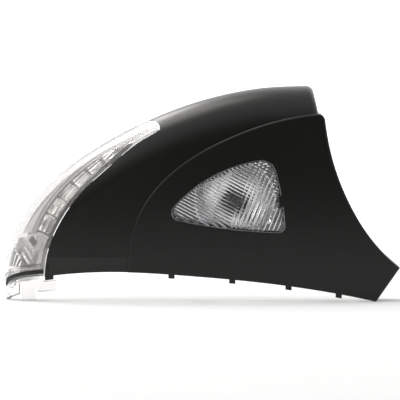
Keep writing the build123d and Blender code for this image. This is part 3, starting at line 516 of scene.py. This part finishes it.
class DressShell(bpy.types.Operator):
    """Black moulding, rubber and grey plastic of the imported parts"""
    bl_idname = "signal_lamp.dress_shell"
    bl_label = "Shell and Seals"

    def execute(self, context):
        look = context.scene.lamp_shell
        shell = moulded_plastic(
            "satin_black_shell", look.colour, look.roughness, 2600.0, 0.3,
            Specular_IOR_Level=look.gloss, Coat_Weight=0.4, Coat_Roughness=0.26)
        rubber = moulded_plastic("seal_rubber", *RUBBER)
        casing = moulded_plastic("grey_moulding", *CASING)
        back = silvered("metallised_moulding", *BACK_PLATING)
        dress(shell, "housing_shell")
        dress(rubber, "lens_end_seal", "puddle_lens_seal", "holder_ring")
        dress(casing, "puddle_lamp_body", "bulb_holder")
        dress(back, "signal_back_housing")
        return {"FINISHED"}


class DressLamps(bpy.types.Operator):
    """Clear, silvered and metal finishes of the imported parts"""
    bl_idname = "signal_lamp.dress_lamps"
    bl_label = "Lamp Parts"

    def execute(self, context):
        look = context.scene.lamp_lens
        clear = clear_plastic("clear_lamp_plastic", look.tint, POLISH, look.ior)
        lens = clear_plastic("clear_signal_lens", SIGNAL_TINT, POLISH, look.ior, diffuse_share=0.12)
        plated = silvered("silvered_plastic", look.silver, 0.14)
        dress(clear, "puddle_lens", "light_guide")
        dress(lens, "signal_lens")
        dress(plated, "signal_mask", "end_reflector", "puddle_reflector")
        dress(silvered("bright_silver", *BRIGHT_PLATING), "signal_reflector")
        dress(clear_plastic("bulb_glass", BULB_TINT, 0.0, 1.5), "bulb")
        dress(moulded_plastic("circuit_board", *BOARD), "signal_board")
        dress(moulded_plastic("diode_body", *DIODE), "signal_leds")
        dress(silvered("zinc_steel", *ZINC), "lamp_screws", "puddle_screws")
        dress(silvered("tinned_contact", *TIN), "socket_pins", "holder_blades")
        return {"FINISHED"}


def cell_span(run):
    """Near and far side of the row of cells from the seam: it narrows towards the tip."""
    share = ease(run, *CELL_NARROWS)
    return CELL_NEAR + CELL_DRIFT * share, CELL_FAR - CELL_TAPER * share


def lamp_width(run):
    """Distance from the seam to the arch at each place along the seam."""
    return arch_gap(*beside(SEAM_LINE, run, 0.0))


class AddCells(bpy.types.Operator):
    """Row of fluted light cells, with its silvered bed and the dark bars between the cells"""
    bl_idname = "signal_lamp.add_cells"
    bl_label = "Light Cells"

    def execute(self, context):
        sizes = context.scene.lamp_cells
        look = context.scene.lamp_lens
        reach = CELL_START + sizes.count * sizes.pitch
        clear = bpy.data.materials["clear_lamp_plastic"]
        silver = silvered("cell_bed_silver", look.silver, roughness=0.38, metallic=0.55)
        bar_shade = moulded_plastic("smoke_bar", *BAR_SHADE_BLACK)
        add_piece("cell_bed", [self.bed(reach)], silver, ("signal_mask",), sharp=35.0)
        guide = self.guide(sizes, reach)
        add_piece("cell_guide", [guide], clear, ("light_guide",), sharp=50.0)
        # Dividers whose near-black colour is painted shade between the cells
        add_piece("cell_bars", self.bars(sizes), bar_shade)
        return {"FINISHED"}

    def bed(self, reach):
        """Shelf under the cells: a trough behind them, a lip at the seam and two bell-shaped rails.

        Its lower outer corner is drawn down by a share of the way past the cells.
        """
        run = np.linspace(BED_START, reach, BED_GRID[0])[:, None]
        near, outer = cell_span(run)
        wide = outer + BED_WIDTH - BED_TAPER * ease(run, *BED_NARROWS)
        wide = np.minimum(wide, lamp_width(run) - BED_ARCH_GAP)
        off = near - 0.2 + (wide - near + 0.2) * np.linspace(0.0, 1.0, BED_GRID[1])[None, :]
        corner = 1 - ease(run, BED_START, BED_CORNER)
        run_grid = run - BED_DRAWN * (corner * np.maximum(off - outer - 0.6, 0.0))
        trough = band(off, near + 0.05, outer + 0.35, 0.5)
        rails = sum(np.exp(-(((off - outer - place) / width) ** 2)) for place, width in RAILS)
        lip = 1 - ease(off, near + 0.1, near + 0.7)
        inset = BED_FACE + BED_TROUGH * trough - RAIL_HEIGHT * rails - BED_LIP * lip
        return slab(on_head(run_grid, off, inset), on_head(run_grid, off, BED_BACK))

    def guide(self, sizes, reach):
        """Clear guide: each cell is raised, domed by a sine along it and ribbed by half circles across."""
        run = np.linspace(CELL_START, reach, sizes.count * 40 + 1)[:, None]
        near, outer = cell_span(run)
        across = np.linspace(0.0, 1.0, 55)[None, :]
        off = near + 0.6 + (outer - near - 0.45) * across
        run_grid = np.broadcast_to(run, off.shape)
        step = (run_grid - CELL_START) / sizes.pitch
        way = (step - np.floor(step)) * sizes.pitch
        cell = band(way, CELL_GAP, sizes.pitch - CELL_GAP, 0.6) * band(across, 0.03, 0.97, 0.05)
        lobes = np.sqrt(np.clip(1 - across_step(sizes.flutes * across) ** 2, 0.0, 1.0))
        dome = CELL_DOME * np.sin(math.pi * way / sizes.pitch)
        inset = GUIDE_FACE - cell * (CELL_RISE + sizes.height * lobes + dome)
        return slab(on_head(run_grid, off, inset), on_head(run_grid, off, GUIDE_BACK))

    def bars(self, sizes):
        """Narrow bars across the row, bowed by a sine towards the tip. They divide the cells, and their
        near-black colour is painted shade between them.
        """
        bars = []
        for index in range(sizes.count + 1):
            at = CELL_START + index * sizes.pitch
            run = np.linspace(at - BAR_HALF, at + BAR_HALF, 3)[:, None]
            near, outer = cell_span(run)
            off = near + 0.1 + (outer - near + 0.3) * np.linspace(0.0, 1.0, 12)[None, :]
            run_grid = run + BAR_BOW * np.sin(math.pi * (off - near) / (outer - near))
            bars.append(slab(on_head(run_grid, off, BAR_FACE), on_head(run_grid, off, BAR_BACK)))
        return bars


class AddEndBowl(bpy.types.Operator):
    """Fluted silvered bowl in the lower end of the signal lamp, with painted shade: dark bars in its end
    window and a dark patch over the bowl
    """
    bl_idname = "signal_lamp.add_end_bowl"
    bl_label = "End Bowl"

    def execute(self, context):
        look = context.scene.lamp_lens
        silver = silvered("end_bowl_silver", look.silver, roughness=0.26, metallic=0.6)
        dark = moulded_plastic("dark_prism", *PRISM_SHADE_BLACK)
        add_piece("end_bowl", [self.bowl()], silver, ("end_reflector",), sharp=35.0)
        # Dark bars as painted shade for the end window's prism ribs
        add_piece("end_prisms", self.prism_shade_bars(), dark, sharp=30.0)
        # Dark diamond as a painted dark reflection on the bowl
        add_piece("end_port", [self.painted_dark_patch()], dark, sharp=30.0)
        return {"FINISHED"}

    def bowl(self):
        """Shelf between the seam and the arch: at the left a smooth hollow with slanting flutes.

        Each flute is half a wave of a sine. Beside the seam a facet takes over, whose face comes
        forward in proportion to the distance from its place.
        """
        across = np.linspace(0.0, 1.0, END_GRID[1])[None, :]
        z = END_FOOT + (END_HEIGHT - END_SLANT * across) * np.linspace(0.0, 1.0, END_GRID[0])[:, None]
        near = np.interp(z, SEAM_LINE[0][:, 1], SEAM_LINE[0][:, 0]) - END_SEAM_GAP
        far = np.interp(z, ARCH_LINE[0][:, 1], ARCH_LINE[0][:, 0]) + END_ARCH_GAP
        far = np.maximum(far, END_CORNER[0] - END_CORNER_FALL * (z - END_CORNER[1]))
        x = near + (far - near) * across
        off = near - x
        flute = (x - END_FLUTE_PLACE[0]) * -math.sin(END_FLUTE_LEAN)
        flute = (flute + (z - END_FLUTE_PLACE[1]) * math.cos(END_FLUTE_LEAN)) / END_FLUTE_PITCH
        way = np.hypot((x - END_MIDDLE[0]) / END_SPREAD[0], (z - END_MIDDLE[1]) / END_SPREAD[1])
        hollow = END_DEPTH * (1 - ease(way, 0.0, 1.05))
        left = ease(off, *FACET_EDGE)
        inset = END_FACE + hollow * left + END_FLUTE_HEIGHT * left * np.abs(np.sin(math.pi * flute))
        facet = np.abs(off - FACET_PLACE[0]) * FACET_FALL[0] + np.abs(z - FACET_PLACE[1]) * FACET_FALL[1]
        inset = inset + (1 - left) * (FACET_INSET - 0.75 * facet)
        return slab(under_skin(x, z, inset), under_skin(x, z, END_BACK))

    def prism_shade_bars(self):
        """Dark bars that fan out from the end window's foot, each shorter and wider at its top: painted
        shade for the dark bands that the window's prism ribs show.
        """
        bars = []
        share = np.linspace(0.0, 1.0, 30)[:, None]
        side = np.linspace(-0.5, 0.5, 5)[None, :]
        for index in range(PRISM_SHADE_COUNT):
            x = PRISM_SHADE_FOOT[0] + PRISM_SHADE_STEP * index + PRISM_SHADE_LEAN * share
            x = x + side * (PRISM_SHADE_WIDTH + PRISM_SHADE_FLARE * share)
            z = PRISM_SHADE_FOOT[1] + (PRISM_SHADE_HEIGHT - PRISM_SHADE_SHORTER * index) * share + 0 * side
            front = under_skin(x, z, PRISM_SHADE_INSET)
            bars.append(slab(front, front + np.array([0.0, PRISM_SHADE_DEPTH, 0.0])))
        return bars

    def painted_dark_patch(self):
        """Dark diamond above the bowl, between two slanting runs: a painted dark reflection where the bowl
        shows a dark patch.
        """
        u, v = np.meshgrid(np.linspace(-1.0, 1.0, 13), np.linspace(-1.0, 1.0, 13), indexing="ij")
        x = DARK_PATCH_PLACE[0] + DARK_PATCH_RUN[0] * u + DARK_PATCH_RISE[0] * v
        z = DARK_PATCH_PLACE[1] + DARK_PATCH_RUN[1] * u + DARK_PATCH_RISE[1] * v
        front = under_skin(x, z, DARK_PATCH_INSET)
        return slab(front, front + np.array([0.0, DARK_PATCH_DEPTH, 0.0]))


def circle_through(first, middle, last):
    """Centre and radius of the circle through three points."""
    (ax, az), (bx, bz), (cx, cz) = first, middle, last
    rows = 2 * np.array([[bx - ax, bz - az], [cx - ax, cz - az]])
    sides = np.array([bx**2 + bz**2 - ax**2 - az**2, cx**2 + cz**2 - ax**2 - az**2])
    centre = np.linalg.solve(rows, sides)
    return centre, math.hypot(*(centre - np.array(first)))


def corner_centre(first, second, corner, radius):
    """Centre of a corner's round, as far from both bulged sides' centres as their radius less its own."""
    (c1, r1), (c2, r2) = first, second
    apart = c2 - c1
    gap = math.hypot(*apart)
    along = ((r1 - radius) ** 2 - (r2 - radius) ** 2 + gap**2) / (2 * gap)
    off = math.sqrt((r1 - radius) ** 2 - along**2)
    foot = c1 + apart / gap * along
    side = np.array([-apart[1], apart[0]]) / gap * off
    return min(foot + side, foot - side, key=lambda spot: math.hypot(*(spot - np.array(corner))))


def ray_length(origin, turns, centre, radius):
    """Distance from the origin along each turn to the far side of a circle."""
    run = np.stack([np.cos(turns), np.sin(turns)], -1)
    toward = run @ (centre - origin)
    inside = radius**2 - ((centre - origin) ** 2).sum() + toward**2
    return toward + np.sqrt(np.maximum(inside, 0.0)), inside > 0


def pane_rim(turns, origin):
    """Distance of the courtesy lens's rim from the origin along each turn.

    It is the least distance to the three bulged sides' circles. Within a corner's two touching
    spots it is the distance to the corner's own circle, and the key notch is cut straight.
    """
    sides = [circle_through(*points) for points in PANE_SIDES]
    origin = np.array(origin)
    reach = np.min([ray_length(origin, turns, *side)[0] for side in sides], axis=0)
    for first, second, corner, radius in PANE_CORNERS:
        centre = corner_centre(sides[first], sides[second], corner, radius)
        ends = []
        for side_centre, side_radius in (sides[first], sides[second]):
            touch = side_centre + (centre - side_centre) / math.hypot(*(centre - side_centre)) * side_radius
            ends.append(math.atan2(*(touch - origin)[::-1]))
        middle = math.atan2(*(np.array(corner) - origin)[::-1])
        swing = [(end - middle + math.pi) % (2 * math.pi) - math.pi for end in ends]
        turn = (turns - middle + math.pi) % (2 * math.pi) - math.pi
        rounded, meets = ray_length(origin, turns, centre, radius)
        within = (turn > min(swing)) & (turn < max(swing)) & meets
        reach = np.where(within, np.minimum(rounded, reach), reach)
    x = origin[0] + reach * np.cos(turns)
    z = origin[1] + reach * np.sin(turns)
    keyed = (x > PANE_KEY[0]) & (z > PANE_KEY[1]) & (z < PANE_KEY[2])
    return np.where(keyed, (PANE_KEY[0] - origin[0]) / np.maximum(np.cos(turns), 0.1), reach)


def rows_in_pane(angle, across):
    """First and last place of each straight row across the lens, read off a dense outline.

    A row lies at a distance across from the middle and is turned by angle. Each of its ends is
    where it cuts a side of the outline, in proportion between that side's two points.
    """
    turns = np.linspace(-math.pi, math.pi, 2881)[:-1]
    reach = pane_rim(turns, PANE_CENTRE) - PANE_MARGIN
    run = np.array([math.cos(angle), math.sin(angle)])
    side = np.array([-run[1], run[0]])
    outline = np.stack([reach * np.cos(turns), reach * np.sin(turns)], -1)
    along, aside = outline @ run, outline @ side
    after_along, after_aside = np.roll(along, -1), np.roll(aside, -1)
    step = after_aside - aside
    step[step == 0.0] = 1.0
    level = across[:, None]
    cut = (aside - level) * (after_aside - level) <= 0
    meets = along + (level - aside) / step * (after_along - along)
    low = np.where(cut, meets, np.inf).min(1)
    high = np.where(cut, meets, -np.inf).max(1)
    return low, high, run, side


def pane_place(along, aside, run, side):
    """Places in x and z from the way along a row and the distance from the lens's middle."""
    x = PANE_CENTRE[0] + along * run[0] + aside * side[0]
    return x, PANE_CENTRE[1] + along * run[1] + aside * side[1]


def pane_slab(x, z, relief):
    """Slab of clear lens between the crowned front and an inner face that the relief lowers."""
    front = np.stack([x, sphere_y(x, z, PANEL, 0.0) + PANE_FACE, z], -1)
    back = np.stack([x, sphere_y(x, z, PANEL, 0.0) + PANE_BACK + relief, z], -1)
    return slab(front, back)


class AddPane(bpy.types.Operator):
    """Courtesy lens: rim with its flange, flutes on the left, ridges and pillows on the right"""
    bl_idname = "signal_lamp.add_pane"
    bl_label = "Courtesy Lens"

    def execute(self, context):
        sizes = context.scene.lamp_pane
        clear = bpy.data.materials["clear_lamp_plastic"]
        # The rim is made milky white as a painted highlight along the lens's outline.
        edge = clear_plastic("courtesy_edge", RIM_HIGHLIGHT_TINT, roughness=0.05, ior=1.49, diffuse_share=0.3)
        silver = silvered("courtesy_silver", *DISH_PLATING)
        add_piece("courtesy_rim", [self.rim()], edge, ("puddle_lens",))
        add_piece("courtesy_bowl", [self.bowl()], silver, ("puddle_reflector",), sharp=30.0)
        add_piece("courtesy_flutes", [self.flutes(sizes)], clear, sharp=50.0)
        add_piece("courtesy_ridges", [self.ridges(sizes)], clear, sharp=50.0)
        return {"FINISHED"}

    def rim(self):
        """Section of the rim and its flange carried round the lens's outline and closed on itself."""
        turns = np.linspace(-math.pi, math.pi, 721)[:-1]
        wide = pane_rim(turns, PANE_CENTRE)[:, None] + np.array(RIM_GROW)[None, :]
        x = PANE_CENTRE[0] + wide * np.cos(turns)[:, None]
        z = PANE_CENTRE[1] + wide * np.sin(turns)[:, None]
        y = sphere_y(x, z, PANEL, 0.0) + np.array(RIM_DEPTH)[None, :]
        return ring_shell(np.stack([x, y, z], -1))

    def bowl(self):
        """Paraboloid round the bulb, less deep by the distance squared, that stops at a flat shelf."""
        turns = np.linspace(-math.pi, math.pi, 481)[:-1]
        reach = pane_rim(turns, BULB_PLACE) - DISH_MARGIN
        radius = DISH_HOLE + (reach[:, None] - DISH_HOLE) * np.linspace(0.0, 1.0, 60)[None, :]
        x = BULB_PLACE[0] + radius * np.cos(turns)[:, None]
        z = BULB_PLACE[1] + radius * np.sin(turns)[:, None]
        depth = np.maximum(DISH_DEPTH - radius**2 / DISH_CURVE, 0.0)
        front = np.stack([x, sphere_y(x, z, PANEL, 0.0) + DISH_SHELF + depth, z], -1)
        back = front + np.array([0.0, DISH_WALL, 0.0])
        return ring_shell(np.concatenate([front, back[:, ::-1]], 1))

    def flutes(self, sizes):
        """Rows along the falling flutes, up to the border: each flute is a parabola across."""
        across = np.arange(-16.0, 13.0) * sizes.flute_pitch
        fine = np.arange(FLUTE_GRID[0])[None, :] * sizes.flute_pitch / FLUTE_GRID[0]
        across = (across[:, None] + fine).ravel()
        across = across[self.row_limits(FLUTE_FALL, across)]
        low, high, run, side = rows_in_pane(FLUTE_FALL, across)
        high = np.minimum(high, self.border_crossing(across, run, side) - BORDER_GAP)
        along, aside = self.row_grid(low, high, across, FLUTE_GRID[1])
        x, z = pane_place(along, aside, run, side)
        lobe = across_step(aside / sizes.flute_pitch, 1e-6)
        return pane_slab(x, z, sizes.relief * (1 - lobe**2))

    def ridges(self, sizes):
        """Rows along the rising ridges, crossed by pillows in the upper middle and at the far side.

        Ridges and pillows are parabolas across, and where they cross the ridges give way by a share.
        """
        across = np.arange(-42.0, 0.0, sizes.ridge_pitch / RIDGE_GRID[0])
        side = np.array([-math.sin(RIDGE_LEAN), math.cos(RIDGE_LEAN)])
        border = (np.array(BORDER_PLACE) - np.array(PANE_CENTRE)) @ side
        across = across[(across < border - BORDER_GAP) & self.row_limits(RIDGE_LEAN, across)]
        low, high, run, side = rows_in_pane(RIDGE_LEAN, across)
        along, aside = self.row_grid(low, high, across, RIDGE_GRID[1])
        x, z = pane_place(along, aside, run, side)
        inwards = border - aside
        ridge = 1 - across_step(inwards / sizes.ridge_pitch) ** 2
        fall = (x - PANE_CENTRE[0]) * -math.sin(FLUTE_FALL) + (z - PANE_CENTRE[1]) * math.cos(FLUTE_FALL)
        pillow = 1 - across_step(fall / sizes.flute_pitch) ** 2
        crossed = (1 - ease(inwards, *PILLOWS_END)) * ease(z, *PILLOWS_FOOT)
        far = ease(inwards, *FAR_START) * ease(z + 1.1 * x, *FAR_SLANT)
        crossed = np.maximum(crossed, 0.5 * far)
        relief = ridge * (1 - 0.3 * crossed) + 0.5 * crossed * pillow
        return pane_slab(x, z, RIDGE_RELIEF * sizes.relief * relief)

    def row_grid(self, low, high, across, count):
        """Grid of places along the rows that are long enough, and their distances from the middle."""
        keep = high - low > SHORTEST_ROW
        across, low, high = across[keep], low[keep], high[keep]
        along = low[:, None] + (high - low)[:, None] * np.linspace(0.0, 1.0, count)[None, :]
        return along, np.broadcast_to(across[:, None], along.shape)

    def row_limits(self, angle, across):
        """True for the rows that cross the lens."""
        turns = np.linspace(-math.pi, math.pi, 721)
        reach = pane_rim(turns, PANE_CENTRE) - PANE_MARGIN
        aside = reach * np.sin(turns - angle)
        return (across > aside.min() + BORDER_GAP) & (across < aside.max() - BORDER_GAP)

    def border_crossing(self, across, run, side):
        """Place along each flute where it meets the border with the ridges."""
        lean = np.array([math.cos(RIDGE_LEAN), math.sin(RIDGE_LEAN)])
        normal = np.array([lean[1], -lean[0]])
        level = (np.array(BORDER_PLACE) - np.array(PANE_CENTRE)) @ normal
        return (level - across * (side @ normal)) / (run @ normal)


class SetStage(bpy.types.Operator):
    """Pale floor, soft lamps, studio surroundings and the camera"""
    bl_idname = "signal_lamp.set_stage"
    bl_label = "Stage"

    def execute(self, context):
        look = context.scene.lamp_stage
        scene = context.scene
        scene.view_settings.view_transform = "Standard"
        self.surroundings(scene, look)
        for name in LAMPS:
            soft_lamp(name, *LAMPS[name], getattr(look, name))
        self.floor()
        self.camera(scene, look)
        return {"FINISHED"}

    def surroundings(self, scene, look):
        """White for the camera, a least level through glass, and otherwise dimmer towards the camera.

        The level eases up with the direction's share of a rising line that leads away from the camera.
        """
        world = bpy.data.worlds.new("studio")
        scene.world = world
        world.use_nodes = True
        tree = world.node_tree
        tree.nodes.clear()
        out = tree.nodes.new("ShaderNodeOutputWorld")
        back = tree.nodes.new("ShaderNodeBackground")
        back.inputs["Color"].default_value = (1, 1, 1, 1)
        place = tree.nodes.new("ShaderNodeTexCoord")
        rise = tree.nodes.new("ShaderNodeVectorMath")
        rise.operation = "DOT_PRODUCT"
        rise.inputs[1].default_value = ROOM_RISE
        dim = tree.nodes.new("ShaderNodeMapRange")
        dim.interpolation_type = "SMOOTHSTEP"
        dim.inputs["From Min"].default_value, dim.inputs["From Max"].default_value = ROOM_SHADE
        dim.inputs["To Min"].default_value = look.front_shade
        dim.inputs["To Max"].default_value = ROOM_LEVEL
        tree.links.new(place.outputs["Generated"], rise.inputs[0])
        tree.links.new(rise.outputs["Value"], dim.inputs["Value"])
        path = tree.nodes.new("ShaderNodeLightPath")
        seen = tree.nodes.new("ShaderNodeMath")
        seen.operation = "MAXIMUM"
        through = tree.nodes.new("ShaderNodeMath")
        through.operation = "MULTIPLY"
        through.inputs[1].default_value = look.glass_shade
        tree.links.new(path.outputs["Is Transmission Ray"], through.inputs[0])
        tree.links.new(path.outputs["Is Camera Ray"], seen.inputs[0])
        tree.links.new(through.outputs[0], seen.inputs[1])
        level = tree.nodes.new("ShaderNodeMath")
        level.operation = "MAXIMUM"
        tree.links.new(dim.outputs["Result"], level.inputs[0])
        tree.links.new(seen.outputs[0], level.inputs[1])
        tree.links.new(level.outputs[0], back.inputs["Strength"])
        tree.links.new(back.outputs["Background"], out.inputs["Surface"])

    def floor(self):
        """Flat floor that bends up into a wall far behind, a quarter circle between them.

        For the camera and in gloss it shines a little, and more with the distance behind the part.
        """
        turn = np.linspace(0.0, math.pi / 2, 24)
        flat = np.array([[FLOOR_FRONT, 0.0], [FLOOR_BEND, 0.0]])
        bend = np.stack([FLOOR_BEND + FLOOR_ROUND * np.sin(turn), FLOOR_ROUND * (1 - np.cos(turn))], 1)
        line = np.concatenate([flat, bend[1:], [[FLOOR_BEND + FLOOR_ROUND, FLOOR_TOP]]])
        side = np.array([-FLOOR_SIDE, FLOOR_SIDE])
        spots = np.stack(np.broadcast_arrays(side[None, :], line[:, :1], line[:, 1:]), -1).reshape(-1, 3)
        mesh = bpy.data.meshes.new("floor")
        mesh.from_pydata((spots * MM).tolist(), [], grid_triangles(len(line), 2)[:, ::-1].tolist())
        material, tree, shader = new_material(
            "pale_floor", Base_Color=FLOOR_COLOUR, Roughness=0.8, Emission_Color=(1, 1, 1, 1))
        path = tree.nodes.new("ShaderNodeLightPath")
        seen = tree.nodes.new("ShaderNodeMath")
        seen.operation = "MAXIMUM"
        tree.links.new(path.outputs["Is Camera Ray"], seen.inputs[0])
        tree.links.new(path.outputs["Is Glossy Ray"], seen.inputs[1])
        place = tree.nodes.new("ShaderNodeTexCoord")
        parts = tree.nodes.new("ShaderNodeSeparateXYZ")
        away = tree.nodes.new("ShaderNodeMapRange")
        away.interpolation_type = "SMOOTHSTEP"
        away.inputs["From Min"].default_value, away.inputs["From Max"].default_value = LIFT_PLACES
        away.inputs["To Min"].default_value, away.inputs["To Max"].default_value = LIFT_LEVELS
        tree.links.new(place.outputs["Object"], parts.inputs["Vector"])
        tree.links.new(parts.outputs["Y"], away.inputs["Value"])
        lift = tree.nodes.new("ShaderNodeMath")
        lift.operation = "MULTIPLY"
        tree.links.new(seen.outputs[0], lift.inputs[0])
        tree.links.new(away.outputs["Result"], lift.inputs[1])
        tree.links.new(lift.outputs[0], shader.inputs["Emission Strength"])
        mesh.materials.append(material)
        floor = bpy.data.objects.new("floor", mesh)
        bpy.context.scene.collection.objects.link(floor)

    def camera(self, scene, look):
        """Long lens aimed at the middle of the part, with the part's length filling the frame."""
        lens = bpy.data.cameras.new("camera")
        lens.sensor_width = SENSOR
        lens.lens = SENSOR * look.distance / VIEW_WIDTH
        lens.clip_end = 50.0
        camera = bpy.data.objects.new("camera", lens)
        scene.collection.objects.link(camera)
        height = VIEW_HEIGHT + look.distance * math.sin(look.elevation)
        camera.location = (0.0, -look.distance * math.cos(look.elevation), height)
        camera.rotation_euler = (math.pi / 2 - look.elevation, 0.0, 0.0)
        scene.camera = camera


def soft_lamp(name, place, aim, size, power):
    """A square soft lamp turned from its place to its aim."""
    lamp = bpy.data.lights.new(name, "AREA")
    lamp.shape = "SQUARE"
    lamp.size = size
    lamp.energy = power
    lamp.color = LAMP_COLOUR
    holder = bpy.data.objects.new(name, lamp)
    bpy.context.scene.collection.objects.link(holder)
    holder.location = place
    run = np.array(aim) - np.array(place)
    flat = math.hypot(run[0], run[1])
    holder.rotation_euler = (math.atan2(flat, -run[2]), 0.0, math.atan2(run[1], run[0]) - math.pi / 2)


OPERATORS = (DressShell, DressLamps, AddCells, AddEndBowl, AddPane, SetStage)


class SignalLampPanel(bpy.types.Panel):
    """Settings and steps of the signal lamp"""
    bl_idname = "VIEW3D_PT_signal_lamp"
    bl_label = "Signal Lamp"
    bl_space_type = "VIEW_3D"
    bl_region_type = "UI"
    bl_category = "Signal Lamp"

    def draw(self, context):
        for name, group in GROUPS.items():
            box = self.layout.box()
            for setting in group.__annotations__:
                box.prop(getattr(context.scene, name), setting)
        for operator in OPERATORS:
            self.layout.operator(operator.bl_idname)


def register():
    for kind in (*GROUPS.values(), *OPERATORS, SignalLampPanel):
        bpy.utils.register_class(kind)
    for name, group in GROUPS.items():
        setattr(bpy.types.Scene, name, PointerProperty(type=group))


def unregister():
    for name in GROUPS:
        delattr(bpy.types.Scene, name)
    for kind in (SignalLampPanel, *reversed(OPERATORS), *reversed(GROUPS.values())):
        bpy.utils.unregister_class(kind)


def main():
    register()
    bpy.ops.signal_lamp.dress_shell()
    bpy.ops.signal_lamp.dress_lamps()
    bpy.ops.signal_lamp.add_cells()
    bpy.ops.signal_lamp.add_end_bowl()
    bpy.ops.signal_lamp.add_pane()
    bpy.ops.signal_lamp.set_stage()


if __name__ == "__main__":
    main()
